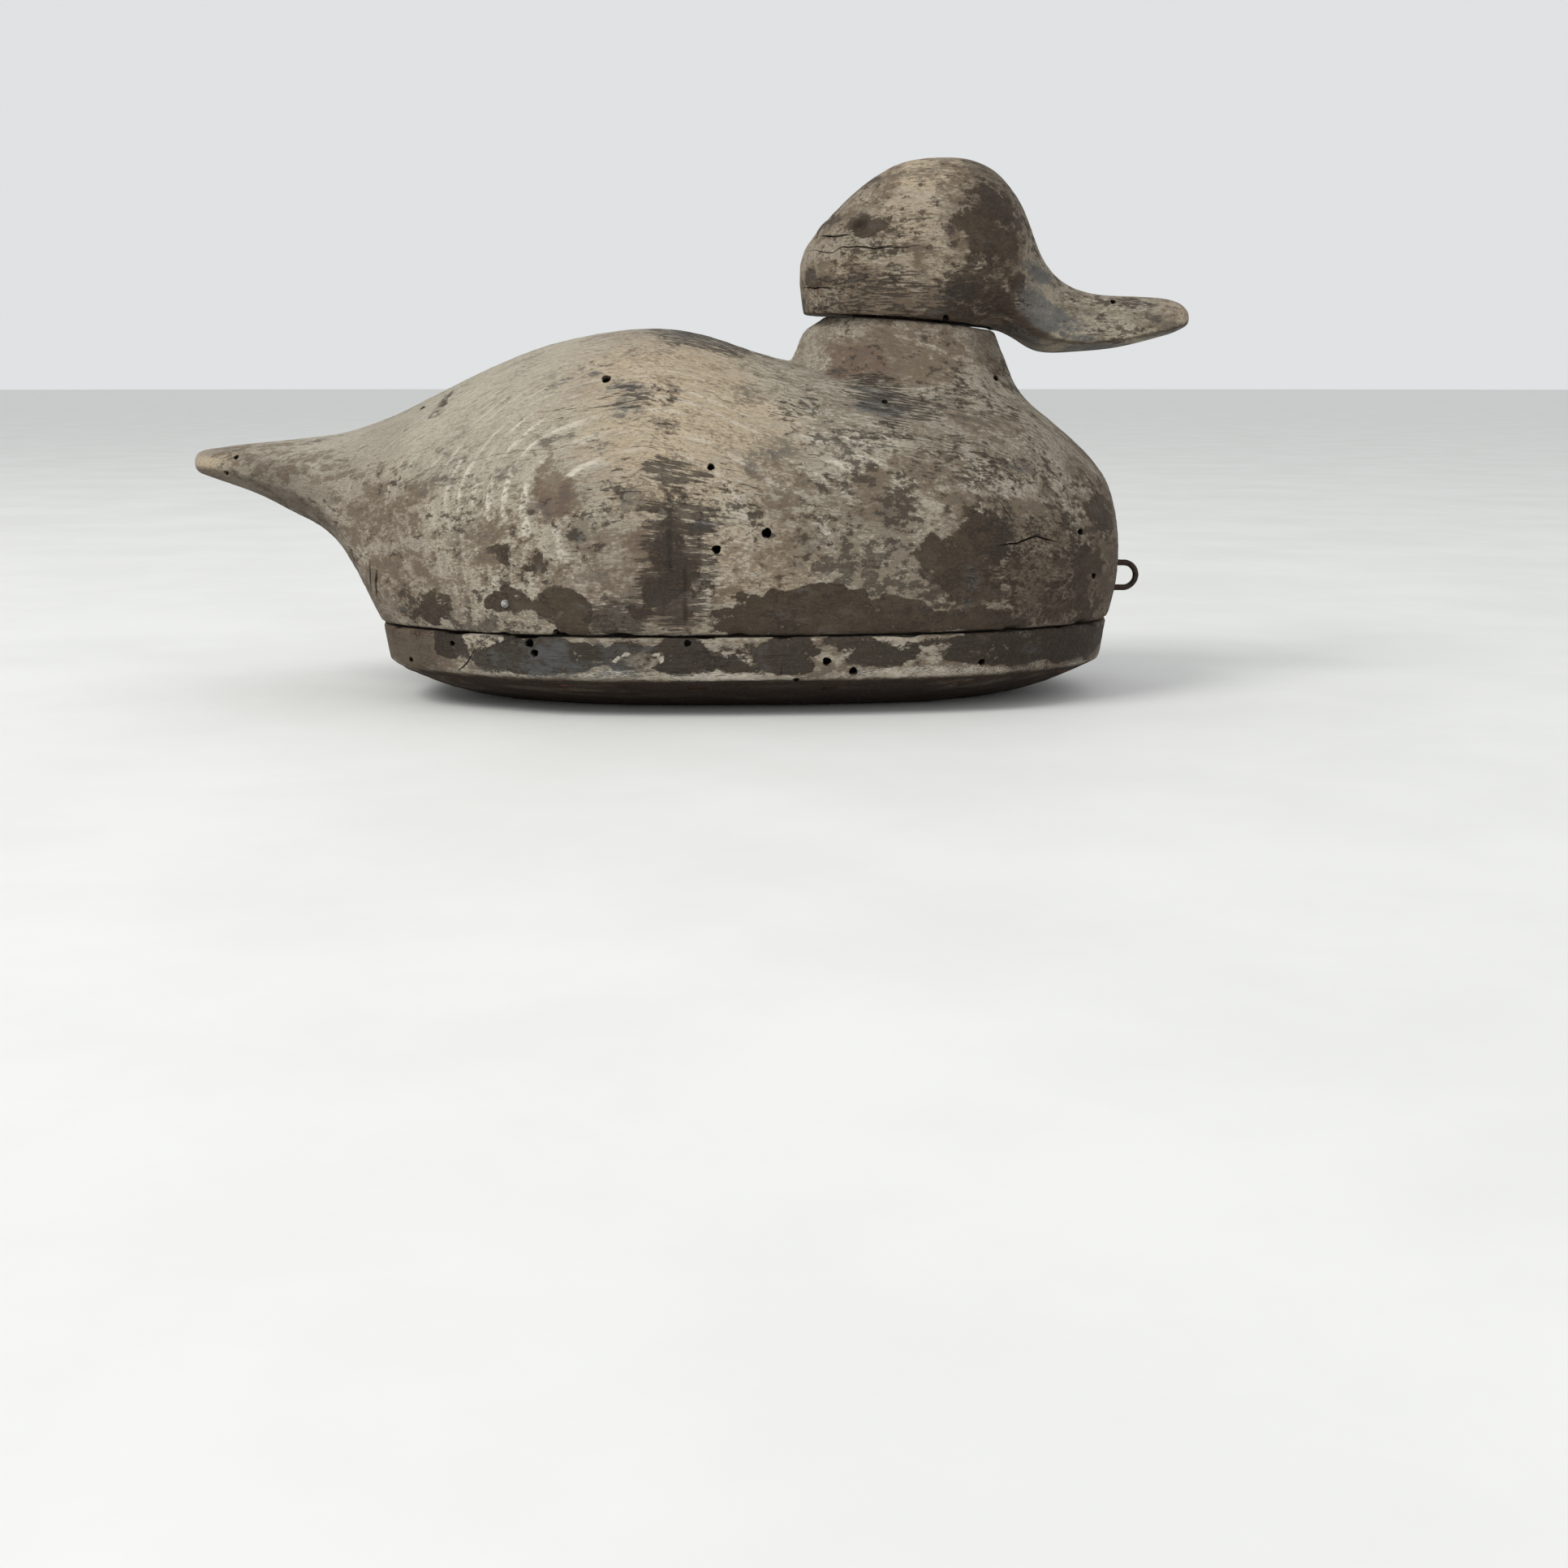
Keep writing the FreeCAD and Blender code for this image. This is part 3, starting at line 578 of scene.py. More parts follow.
def rusty_iron(name, dark, bright, scale=700):
    """Iron under a crust of rust, in two browns, with pits."""
    g = Graph(name)
    place = g.place()
    crust = g.noise(place, scale, 8, 0.65)
    scale_pits = g.noise(place, scale * 2.4, 5, 0.7)
    colour = g.mix(g.fade(crust, 0.42, 0.62), dark, bright)
    colour = g.mix(g.math("MULTIPLY", g.fade(scale_pits, 0.55, 0.68), 0.7), colour, srgb(24, 18, 15))
    g.bump(g.math("ADD", crust, g.math("MULTIPLY", scale_pits, 0.6)), 0.0004, 0.9)
    return g.surface(colour, g.math("ADD", 0.55, g.math("MULTIPLY", crust, 0.4)), metallic=0.25, specular=0.4)


def old_lead(name, bloom):
    """Dull lead, dented by the hammer, under this share of white bloom."""
    g = Graph(name)
    place = g.place()
    dents = g.noise(place, 140, 3, 0.5)
    oxide = g.noise(place, 420, 8, 0.68)
    scratches = g.noise(g.stretch(place, 1, 8, 2), 300, 4, 0.6)
    colour = g.mix(g.fade(dents, 0.35, 0.65), srgb(92, 92, 94), srgb(128, 127, 126))
    colour = g.mix(g.math("MULTIPLY", g.fade(scratches, 0.58, 0.7), 0.4), colour, srgb(168, 168, 168))
    white = g.fade(g.math("ADD", oxide, bloom), 0.62, 0.78)
    colour = g.mix(g.math("MULTIPLY", white, 0.85), colour, srgb(214, 212, 206))
    height = g.math("ADD", g.math("MULTIPLY", dents, 1.4), g.math("MULTIPLY", oxide, 0.5))
    g.bump(height, 0.0008, 0.8)
    return g.surface(colour, g.math("ADD", 0.45, g.math("MULTIPLY", white, 0.4)), metallic=0.35, specular=0.4)


def dry_leather(name):
    """Dark leather, cracked and dusty."""
    g = Graph(name)
    place = g.place()
    cells = g.add("ShaderNodeTexVoronoi", feature="DISTANCE_TO_EDGE")
    g.put(cells.inputs["Vector"], place)
    g.put(cells.inputs["Scale"], 900)
    creases = g.fade(cells.outputs["Distance"], 0.0, 0.12)
    dust = g.noise(place, 260, 7, 0.65)
    colour = g.mix(g.fade(dust, 0.4, 0.65), srgb(46, 33, 25), srgb(84, 66, 50))
    colour = g.mix(g.math("MULTIPLY", g.fade(creases, 0.6, 0.0), 0.6), colour, srgb(20, 14, 11))
    g.bump(g.math("ADD", creases, dust), 0.0003, 0.7)
    return g.surface(colour, g.math("ADD", 0.6, g.math("MULTIPLY", dust, 0.3)))


def dried_caulk(name):
    """Black caulk, shrunk and crazed."""
    g = Graph(name)
    place = g.place()
    lumps = g.noise(place, 350, 7, 0.62)
    crazing = g.noise(g.stretch(place, 1, 1, 4), 900, 4, 0.7)
    colour = g.mix(g.fade(lumps, 0.42, 0.66), srgb(22, 19, 17), srgb(48, 42, 37))
    g.bump(g.math("ADD", lumps, g.math("MULTIPLY", crazing, 0.5)), 0.0004, 0.8)
    return g.surface(colour, g.math("ADD", 0.7, g.math("MULTIPLY", crazing, 0.25)))


def dowel_wood(name):
    """Straight-grained hardwood, darkened by handling. The grain runs along the dowel."""
    g = Graph(name)
    place = g.place()
    grain = g.noise(g.stretch(place, 9, 9, 1), 170, 7, 0.6)
    pores = g.noise(g.stretch(place, 14, 14, 1), 420, 4, 0.6)
    colour = g.mix(g.fade(grain, 0.36, 0.64), srgb(150, 116, 76), srgb(184, 152, 108))
    colour = g.mix(g.math("MULTIPLY", g.fade(pores, 0.55, 0.7), 0.55), colour, srgb(78, 54, 34))
    g.bump(g.math("SUBTRACT", grain, pores), 0.0003, 0.6)
    return g.surface(colour, g.math("ADD", 0.5, g.math("MULTIPLY", grain, 0.25)))


# ------------------------ the body

# Height of the back above x, in mm, without the neck: fibres run along it
BACK_LINE = (
    (-188, -150, -110, -60, -12, 28, 72, 108, 130, 148, 160, 165),
    (90, 96, 106, 129, 137, 128, 121, 116, 109, 95, 80, 62),
)
BACK_LEVEL = 120  # height that the line is taken from
FLOW_TOP = 125  # the fibres follow the line in full from here up
RING_SIZE = 2.1
RING_WANDER = 3.2
BODY_PITH = (160.0, 43.0)  # y and z of the growth rings' middle, past the left side of the block

BODY_GRAIN = 1.3 * MM
HOLLOW_SHARE = 0.1  # of the faces, on the walls of the hollow

# Shot holes: x, z, radius and depth in mm, and the side
BODY_HOLES = [
    (-26.4, 118.9, 1.7, 9, RIGHT),
    (11.2, 88.8, 1.3, 7, RIGHT),
    (30.6, 66.1, 1.8, 8, RIGHT),
    (13.1, 60.5, 1.6, 9, RIGHT),
    (72.9, 110.6, 1.2, 6, RIGHT),
    (115.4, 119.0, 1.2, 6, RIGHT),
    (144.8, 64.1, 1.2, 6, RIGHT),
    (150.9, 47.5, 1.1, 5, RIGHT),
    (-96.9, 108.2, 1.1, 5, RIGHT),
    (-43.6, 31.0, 1.5, 5, RIGHT),
    (-169.2, 90.0, 1.1, 4, RIGHT),
    (-173.5, 83.9, 1.1, 4, RIGHT),
    (-46.0, 96.0, 1.5, 8, LEFT),
    (22.0, 71.0, 1.6, 8, LEFT),
    (61.0, 104.0, 1.3, 6, LEFT),
    (118.0, 74.0, 1.4, 7, LEFT),
]
# Cracks: their route through places of x and z, half their width, their depth and the side
BODY_CRACKS = [
    ([(112, 60.9), (119.8, 61.2), (126.9, 63.8), (135.8, 60.5)], 0.48, 2.4, RIGHT),
    ([(119.5, 66.5), (116.5, 71), (112, 77.5)], 0.3, 1.4, RIGHT),
    ([(-114.2, 54.4), (-114.9, 47), (-115.2, 41)], 0.4, 2.0, RIGHT),
    ([(-111.6, 50.5), (-112.6, 46), (-112.9, 40.5)], 0.9, 1.6, RIGHT),
    ([(-78, 88), (-66, 92.5), (-52, 94.5), (-38, 95)], 0.16, 0.8, RIGHT),
    ([(-30, 72), (4, 70), (38, 73)], 0.3, 1.8, LEFT),
    ([(78, 96), (98, 92), (112, 93)], 0.25, 1.4, LEFT),
]


def back_height(x):
    return np.interp(x, *BACK_LINE)


def body_flow(points):
    """Coordinates whose x runs along the fibres: level at the seam and along the back higher up."""
    x, y, z = points.T
    share = fade(z, SEAM, FLOW_TOP)
    return np.stack([x, y, z - share * (back_height(x) - BACK_LEVEL)], axis=1)


def growth_ring(points, pith, seed):
    """How many growth rings lie between the pith and each point."""
    _, y, z = points.T
    reach = np.hypot(y - pith[0], z - pith[1])
    return (reach + RING_WANDER * (layered(points, (80, 45, 45), seed, 2) - 0.5)) / RING_SIZE


def neck_blend(piece):
    """Draw the crease round the neck into a soft hollow at the sides and front, and leave it sharp behind."""
    x, y, z = (coordinates(piece.data) / MM).T
    # Distance from the neck's axis, on ovals longer than wide as the neck is
    reach = np.hypot((x - NECK.x) / 1.45, y)
    weight = fade(reach, 26, 34) * fade(reach, 64, 48) * fade(z, 98, 106) * fade(z, 137, 131)
    weight *= fade(x, NECK.x - 38, NECK.x - 14)
    soften(piece.data, 0.6 * weight, 26)


BODY_BARE = [(-50, 80, 42, 34, 0, 1.0), (45, 72, 45, 34, 0, 0.6), (0, 110, 60, 24, 0, 0.4)]


def body_relief(points, flow, ring):
    """Heights of the carved surface: tool facets, raised growth rings, furrows between fibres and chips."""
    x, _, z = points.T
    heights = 0.55 * (layered(points, 34, 3, 2) - 0.5)
    heights += 0.3 * (layered(flow, (26, 11, 11), 5, 2) - 0.5)
    heights += 0.22 * (noise(flow, (11, 2.4, 2.4), 8) - 0.5)
    bare = blobs(x, z, BODY_BARE)
    heights += 0.26 * (0.25 + bare) * np.cos(2 * math.pi * ring) ** 3
    rim = fade(z, SEAM + 4.5, SEAM + 0.7)
    heights -= 0.9 * rim * fade(noise(points, (7, 5, 5), 14), 0.62, 0.85)
    return heights


# Places of paint, stains and bare wood, and a little painted shade, as the ovals that blobs reads
BODY_PAINT = {
    RIGHT: [
        (44, 35, 26, 11, 3, 1.6),
        (74, 34, 16, 9, 0, 1.3),
        (100, 34, 22, 6, 0, 0.9),
        (126, 46, 26, 20, 6, 0.46),
        (121, 44, 7, 17, 4, 0.56),
        (-60, 42, 11, 5, -10, 0.9),
        (-41, 38, 12, 8, -28, 1.0),
        (-18, 36, 12, 5, 0, 0.56),
        (-1, 50, 12, 20, 8, 0.42),
        (-88, 39, 8, 8, -20, 0.5),
        (-102, 74, 10, 7, 0, 0.44),
        (-56, 59, 14, 5, -6, 0.42),
        (92, 62, 8, 5, 0, 0.5),
        (108, 52, 28, 18, -20, 0.42),
        (150, 50, 20, 28, 0, 0.46),
        (84, 116, 30, 8, -16, 0.3),
    ],
    LEFT: [
        (-40, 38, 46, 10, 0, 0.9),
        (60, 36, 44, 10, 4, 1.3),
        (128, 50, 30, 24, 0, 0.6),
        (-84, 66, 24, 12, 16, 0.56),
        (10, 70, 24, 10, 0, 0.56),
        (92, 98, 30, 12, -16, 0.46),
    ],
}
BODY_TAN = [
    (0, 108, 46, 26, 0, 0.86),
    (8, 84, 36, 14, 0, 0.6),
    (22, 56, 34, 16, 0, 0.5),
    (-176, 87, 11, 5, -6, 1.0),
]
BODY_GREEN = [
    (92, 104, 66, 36, -16, 0.72),
    (130, 84, 30, 36, 0, 0.66),
    (64, 76, 34, 24, 0, 0.66),
    (48, 114, 30, 14, -20, 1.2),
    (-110, 102, 70, 24, 14, 0.6),
    (-64, 100, 46, 26, 10, 0.55),
]
BODY_BROWN = [
    (132, 56, 50, 34, 0, 0.6),
    (154, 86, 20, 44, 0, 0.58),
    (104, 114, 40, 20, -24, 0.44),
    (94, 78, 32, 20, -10, 0.6),
    (116, 48, 34, 20, 0, 0.6),
    (-8, 60, 16, 20, 0, 0.7),
    (-60, 62, 18, 12, 10, 0.56),
    (-104, 62, 22, 30, 0, 0.56),
    # Painted shade: brown along the side of the tail, darker than its top
    (-150, 88, 40, 9, -12, 0.5),
    (14, 44, 36, 14, 0, 0.52),
    (36, 72, 24, 16, 0, 0.5),
    (68, 80, 10, 8, 0, 0.8),
    (82, 128, 26, 14, -8, 0.74),
    (-45, 82, 8, 14, 20, 0.8),
    (-40, 50, 60, 16, 0, 0.42),
]
BODY_DASH = [
    (-1, 52, 16, 24, 0, 0.64),
    (0, 74, 17, 5, 0, 0.6),
    (-2, 87, 15, 5, 0, 0.56),
    (6, 68, 10, 3, 0, 0.62),
    (-16, 112, 10, 4, 0, 0.5),
    (10, 133, 30, 6, -10, 0.5),
    (-20, 36, 16, 8, 0, 0.66),
    (74, 112, 24, 7, -22, 0.5),
    (90, 98, 40, 16, -26, 0.36),
    (0, 96, 60, 40, 0, 0.26),
    (116, 100, 40, 14, -30, 0.3),
    (124, 52, 30, 24, 0, 0.4),
]
BODY_RED = [
    (62, 128, 14, 14, 0, 0.52),
    (74, 120, 9, 7, -20, 0.46),
    (-46, 82, 8, 13, 20, 0.44),
    (-10, 60, 12, 10, 0, 0.46),
]
BODY_BLUE = [
    (-16, 112, 9, 4, 0, 0.56),
    (74, 111, 14, 4, -20, 0.56),
    (12, 134, 26, 5, -10, 0.42),
    (10, 70, 8, 3, 0, 0.5),
]
BODY_LINES = [(-52, 78, 32, 30, 0, 1.0), (56, 76, 26, 30, 0, 0.8), (0, 84, 90, 44, 0, 0.36)]
BREAST_DIRT = [(121, 47, 6, 15, 4, 1.0), (112, 50, 7, 9, 0, 0.6)]
NECK_DIRT = [(112, 131, 6, 14, 18, 1.0)]
# Painted shade: a dark line under the lower edge of the tail
TAIL_EDGE_SHADE = [(-152, 82, 26, 5, -14, 1.0), (-140, 69, 12, 5, -24, 0.7)]

# Dark runs down the right side: x, z, half width, half height and strength
BODY_STREAKS = [
    (11.4, 47, 0.9, 15, 1.0),
    (1.6, 44, 0.8, 12, 1.0),
    (6.6, 58, 0.7, 9, 0.8),
    (-3.4, 60, 0.8, 9, 0.8),
]


def body_wear(points, facing):
    """What the material reads: how much paint, stain, dirt, painted shade and bare wood there is at each
    place.
    """
    x, y, z = points.T
    right = fade(y, 12, -12)
    above = z - SEAM
    near_x, near_z = astray(points, 5, (16, 10, 9), 401)
    far_x, far_z = astray(points, 9, (30, 20, 18), 431)
    paint = strongest(on_each_side(y, near_x, near_z, BODY_PAINT), 0.14 * fade(above, 50, 8) + 0.04)
    dirt_and_shade = strongest(
        # Painted shade on the faces under the tail that turn down
        0.78 * fade(x, -96, -116) * fade(facing[:, 2], -0.12, -0.62),
        # Painted shade: darker over the lower breast, and more at the very front
        0.66 * fade(x, 92, 132) * fade(z, 78, 42),
        0.3 * fade(x, 140, 164),
        0.55 * blobs(near_x, near_z, BREAST_DIRT),
        0.45 * fade(above, 1.6, 0.2),
        0.5 * blobs(x, z, NECK_DIRT) * fade(y, -8, -16),
        # Painted shade under the lower edge of the tail
        0.4 * blobs(near_x, near_z, TAIL_EDGE_SHADE),
    )
    wander = 0.5 * noise(points, (9, 9, 16), 451)
    streaks = sum(
        strength * fade(np.abs(x - at_x - wander), half, 0.2) * fade(np.abs(z - at_z), tall, tall * 2 / 3)
        for at_x, at_z, half, tall, strength in BODY_STREAKS
    )
    speck = 0.5 + 0.12 * fade(x, 10, 70) + 0.1 * fade(z, 95, 60)
    speck -= 0.16 * fade(x, 0, -50) * fade(z, 74, 96)
    return {
        "paint": paint,
        "green": blobs(far_x, far_z, BODY_GREEN),
        "tan": blobs(far_x, far_z, BODY_TAN) * (0.8 + 0.2 * right),
        "speck": speck,
        "dirt_and_shade": dirt_and_shade,
        "red": blobs(near_x, near_z, BODY_RED) * right,
        "pale": 0.1 + 0.5 * fade(above, 1.6, 0.3) * (1 - paint),
        "lines": 0.16 + blobs(x, z, BODY_LINES),
        "blue": blobs(near_x, near_z, BODY_BLUE),
        "brown": np.maximum(blobs(far_x, far_z, BODY_BROWN), 0.16),
        "dash": blobs(near_x, near_z, BODY_DASH) * (0.6 + 0.4 * right),
        "shade": 0.55 * np.clip(streaks, 0, 1) * right,
    }


# Upwards and to both sides
CLOSED_WAYS = [Vector(way) for way in ((0, 0, 1), (0, 1, 0), (0, -1, 0))]


def inside(tree, points, directions):
    """Which points are closed in by the piece's own walls: the sides of its hollow."""
    closed = np.zeros(len(points), dtype=bool)
    for k, (point, direction) in enumerate(zip(points, directions)):
        start = Vector(point + direction * 0.4 * MM)
        closed[k] = all(tree.ray_cast(start, way)[0] is not None for way in CLOSED_WAYS)
    return closed


def thin_hollow(piece):
    """Fewer faces where nothing can be seen, on the walls of the hollow."""
    mesh = piece.data
    hidden = inside(tree_of(piece), coordinates(mesh), normals(mesh))
    group = piece.vertex_groups.new(name="hidden")
    group.add([int(k) for k in np.flatnonzero(hidden)], 1.0, "REPLACE")
    kept = 1 - hidden.mean() * (1 - HOLLOW_SHARE)
    hollow_only = {"vertex_group": group.name, "vertex_group_factor": 10.0}
    modifier(piece, "DECIMATE", decimate_type="COLLAPSE", ratio=kept, **hollow_only)
    settle(piece)
    piece.vertex_groups.clear()


def body_block():
    piece = carved_copy("body_block", "weathered_body_block", BODY_GRAIN)
    neck_blend(piece)
    points = coordinates(piece.data) / MM
    displace(piece, body_relief(points, body_flow(points), growth_ring(points, BODY_PITH, 31)))
    whole = cut(piece, BODY_HOLES, BODY_CRACKS)
    thin_hollow(piece)
    points = coordinates(piece.data) / MM
    ring = growth_ring(points, BODY_PITH, 31)
    set_wear(piece, whole, body_flow(points), ring, body_wear(points, normals(piece.data)))
    finish_mesh(piece, weathered_wood("weathered_body", WOOD), "body", "body_block")


# ------------------------ the board

BOARD_GRAIN = 1.2 * MM
BOARD_PITH = (-30.0, -150.0)  # y and z of the growth rings' middle, far below the board
BOARD_EDGE = 14.3  # height of the edge between the side and the bevel
BOARD_HOLES = [
    (-83.2, 25.2, 1.0, 4, RIGHT),
    (-100.6, 17.6, 1.0, 4, RIGHT),
    (-53.7, 27.0, 1.6, 5, RIGHT),
    (-52.0, 23.3, 1.4, 6, RIGHT),
    (51.8, 20.4, 1.6, 5, RIGHT),
    (61.3, 16.6, 1.6, 6, RIGHT),
    (107.9, 18.6, 1.3, 5, RIGHT),
    (40.9, 13.6, 1.2, 3, RIGHT),
    (2.6, 27.4, 1.3, 2, RIGHT),
    (-30.0, 22.0, 1.4, 5, LEFT),
    (84.0, 19.0, 1.4, 5, LEFT),
]
BOARD_CRACKS = [
    ([(-81.5, 14.5), (-77.5, 19), (-74.5, 23.5)], 0.4, 2.2, RIGHT),
    ([(35.5, 15), (35.8, 20)], 0.2, 1.0, RIGHT),
    ([(20, 21), (46, 20), (70, 21.5)], 0.25, 1.4, LEFT),
]
KNOT = (-15.0, 20.8, 7.6, 3.1)  # x, z and half sizes of the knot in the right side
KNOT_RIM = 1.08  # share of the half sizes
FAR_OFF = 9.0
NAIL_STAIN = [(-25.3, 8.1, 4.6, 1.8, 0, 1.0)]


def knot_shape(points):
    """How far each point is from the knot's middle, 1 at its rim, and the knot's own ripples."""
    x, y, z = points.T
    reach = np.hypot((x - KNOT[0]) / KNOT[2], (z - KNOT[1] - 0.07 * (x - KNOT[0])) / KNOT[3])
    reach = np.where(y < 0, reach, FAR_OFF)  # the left side has no knot
    return reach, np.cos(9.5 * reach + 0.5 * (x - KNOT[0]))


def board_relief(points):
    """Heights of the board's surface: plane marks, raised grain, chips along its edges and the knot."""
    z = points[:, 2]
    side = fade(z, 11, 14)
    bevel = (1 - side) * fade(z, 0.2, 1.2)
    heights = 0.4 * (layered(points, 30, 61, 2) - 0.5) * fade(z, 0.2, 1.0)
    heights += 0.2 * side * (noise(points, (12, 3, 2.2), 62) - 0.5)
    hewn = 0.9 * (layered(points, (38, 8, 8), 63, 2) - 0.5)
    heights += bevel * (hewn + 0.5 * (noise(points, (15, 2.6, 2.6), 64) - 0.5))
    arris = fade(np.abs(z - SEAM), 2.6, 0.4)
    heights -= 0.8 * arris * fade(noise(points, (9, 5, 5), 65), 0.6, 0.85)
    arris = fade(np.abs(z - BOARD_EDGE), 2.4, 0.2)
    heights -= 0.7 * arris * fade(noise(points, (11, 6, 6), 66), 0.5, 0.8)
    reach, ripples = knot_shape(points)
    heights += fade(reach, 1.15, 0.9) * (0.35 * ripples - 0.5)
    heights += 0.45 * fade(np.abs(reach - KNOT_RIM), 0.16, 0.03)
    return heights


BOARD_PAINT = {
    RIGHT: [
        (-50, 22, 26, 9, 0, 1.25),
        (-14, 20, 16, 8, 0, 0.85),
        (2, 22, 10, 9, 0, 1.0),
        (39, 23, 10, 10, 0, 1.4),
        (66, 24, 24, 8, -10, 0.56),
        (126, 24, 38, 9, 0, 1.2),
        (92, 25, 18, 6, 0, 0.74),
        (-84, 24, 10, 6, 0, 0.7),
        (-106, 24, 12, 8, 0, 0.5),
    ],
    LEFT: [(-44, 23, 48, 9, 0, 1.1), (50, 23, 44, 9, 0, 1.0), (132, 23, 30, 9, 0, 1.1)],
}


def board_wear(points):
    """What the material reads: a painted side with bare edges, a bevel dark with dirt and painted shade, and
    the knot.
    """
    x, y, z = points.T
    # Darker towards both ends of the side; at the front end this is painted shade
    ends = np.maximum(1.3 * fade(x, -76, -96), fade(x, 80, 130))
    side = fade(z, 12.5, 14.5)
    bevel = 1 - side
    near_x, near_z = astray(points, 4, (14, 10, 6), 501)
    edge_bare = fade(near_z, 19.5, 15.5) + 0.5 * fade(near_z, 27.5, 29.5)
    paint = strongest(on_each_side(y, near_x, near_z, BOARD_PAINT), 0.3)
    paint *= 1 - 0.6 * np.clip(edge_bare, 0, 1)
    paint = strongest(paint * side, 0.42 * bevel * fade(z, 1, 6))
    reach, ripples = knot_shape(points)
    knot = fade(reach, 1.05, 0.85)
    rim = fade(np.abs(reach - KNOT_RIM), 0.17, 0.03) * fade(z, KNOT[1] - 1.5, KNOT[1] + 0.5)
    streaky = noise(points, (34, 3.0, 2.2), 511)
    dirt_and_shade = strongest(
        # The bevel that faces down is dark with dirt and painted shade, broken by lighter streaks higher up
        bevel * (1.05 - 0.7 * fade(streaky, 0.55, 0.8) * fade(z, 2, 9)) + 0.42 * side * ends,
        0.75 * knot * (0.55 + 0.45 * ripples),
        0.9 * bevel * blobs(x, z, NAIL_STAIN) * fade(y, 12, -12),
    )
    return {
        "paint": paint * (1 - knot),
        "green": 0.4 + 0.2 * fade(x, 20, -60) * side,
        "tan": np.maximum(0.45 * edge_bare * side, 0.5 * bevel),
        "speck": 0.42 + 0.1 * side,
        "dirt_and_shade": dirt_and_shade,
        "red": np.maximum(0.42 * bevel, 0.55 * side * fade(z, 25.5, 27.5) * fade(x, -30, -80)),
        "pale": np.maximum(0.16 + 0.34 * edge_bare * side, 1.05 * rim),
        "lines": 0.2 + 0.1 * side,
        "blue": side * blobs(x, z, [(-40, 21, 34, 7, 0, 0.5)]),
        "brown": 0.46 + 0.4 * ends + 0.2 * bevel,
        "dash": 0.4 * bevel + 0.24,
        "shade": np.zeros(len(x)),
    }


def bottom_board():
    piece = carved_copy("bottom_board", "weathered_bottom_board", BOARD_GRAIN)
    points = coordinates(piece.data) / MM
    displace(piece, board_relief(points))
    points = coordinates(piece.data)
    points[:, 2] = np.maximum(points[:, 2], 0.0)  # nothing sinks into the floor
    set_coordinates(piece.data, points)
    whole = cut(piece, BOARD_HOLES, BOARD_CRACKS)
    points = coordinates(piece.data) / MM
    ring = growth_ring(points, BOARD_PITH, 71)
    set_wear(piece, whole, points, ring, board_wear(points))
    material = weathered_wood("weathered_board", BOARD_WOOD)
    finish_mesh(piece, material, "body", "bottom_board")


# ------------------------ the head

HEAD_GRAIN = 0.85 * MM
HEAD_PITH = (70.0, 120.0)  # y and z of the growth rings' middle, past the left side of the head
HEAD_HOLES = [
    (160.1, 147.2, 1.1, 2.2, RIGHT),
    (96.1, 140.4, 1.3, 3, RIGHT),
    (70.0, 181.0, 1.2, 4, LEFT),
    (112.0, 170.0, 1.3, 5, LEFT),
]
CHEEK_CRACK = [(44.5, 165.2), (50.5, 164.6), (54.2, 164.0), (58.2, 165.8), (72.3, 165.3), (86, 166.1)]
HEAD_CRACKS = [
    (CHEEK_CRACK, 0.36, 2.2, RIGHT),
    ([(50.3, 170.4), (55.5, 169.8), (61.0, 170.2)], 0.5, 2.2, RIGHT),
    ([(43.2, 151.6), (49, 151.7), (55.1, 151.4)], 0.34, 1.6, RIGHT),
    ([(48, 160), (66, 161), (82, 159)], 0.22, 1.3, LEFT),
]
KNOT_HOLE = (64.4, 173.6)  # x and z, in the right side


def head_relief(points):
    """Heights of the head's surface: knife facets, fibres and the knot hole with the swirl behind it."""
    x, y, z = points.T
    heights = 0.5 * (layered(points, 22, 81, 2) - 0.5)
    heights += 0.25 * (layered(points, (14, 7, 7), 82, 2) - 0.5)
    heights += 0.16 * (noise(points, (8, 1.7, 1.7), 83) - 0.5)
    right = y < 0
    dx, dz = x - KNOT_HOLE[0], z - KNOT_HOLE[1]
    along, across = (dx * 0.8 + dz * 0.6) / 3.4, (dz * 0.8 - dx * 0.6) / 2.1
    reach = np.hypot(along, across)
    heights -= 2.6 * fade(reach, 1.25, 0.2) * right
    swirl = np.hypot((dx + 7) / 9, (dz + 0.5) / 4.2)
    heights += 0.7 * fade(swirl, 1.2, 0.4) * right
    heights -= 0.5 * fade(np.abs(swirl - 1.15), 0.22, 0.02) * right
    return heights


HEAD_PAINT = {
    RIGHT: [
        (113, 162, 15, 26, 8, 0.47),
        (104, 150, 22, 17, 0, 0.43),
        (108, 180, 13, 15, -40, 0.42),
        (60, 148, 20, 14, 0, 0.34),
        (84, 140, 40, 5, -5, 0.46),
        (67, 174, 11, 8, 0, 0.42),
        (60, 186, 20, 10, 40, 0.42),
    ],
    LEFT: [(110, 165, 19, 27, 0, 0.54), (66, 155, 28, 17, 0, 0.46), (84, 184, 28, 11, 0, 0.42)],
}
HEAD_BROWN = [
    (112, 160, 20, 34, 6, 0.66),
    (60, 150, 26, 16, 0, 0.6),
    (84, 146, 34, 9, -4, 0.62),
    (84, 170, 20, 14, 0, 0.46),
    (62, 184, 22, 12, 40, 0.54),
    (104, 186, 16, 9, -40, 0.56),
]
HEAD_TAN = [
    (88, 194, 16, 10, 0, 1.0),
    (82, 176, 12, 14, 0, 0.6),
    (88, 160, 26, 12, 0, 0.5),
    (66, 158, 14, 8, 0, 0.5),
]
HEAD_SPECKS = [(60, 188, 18, 10, 40, 1.0), (78, 150, 36, 10, 0, 0.8)]
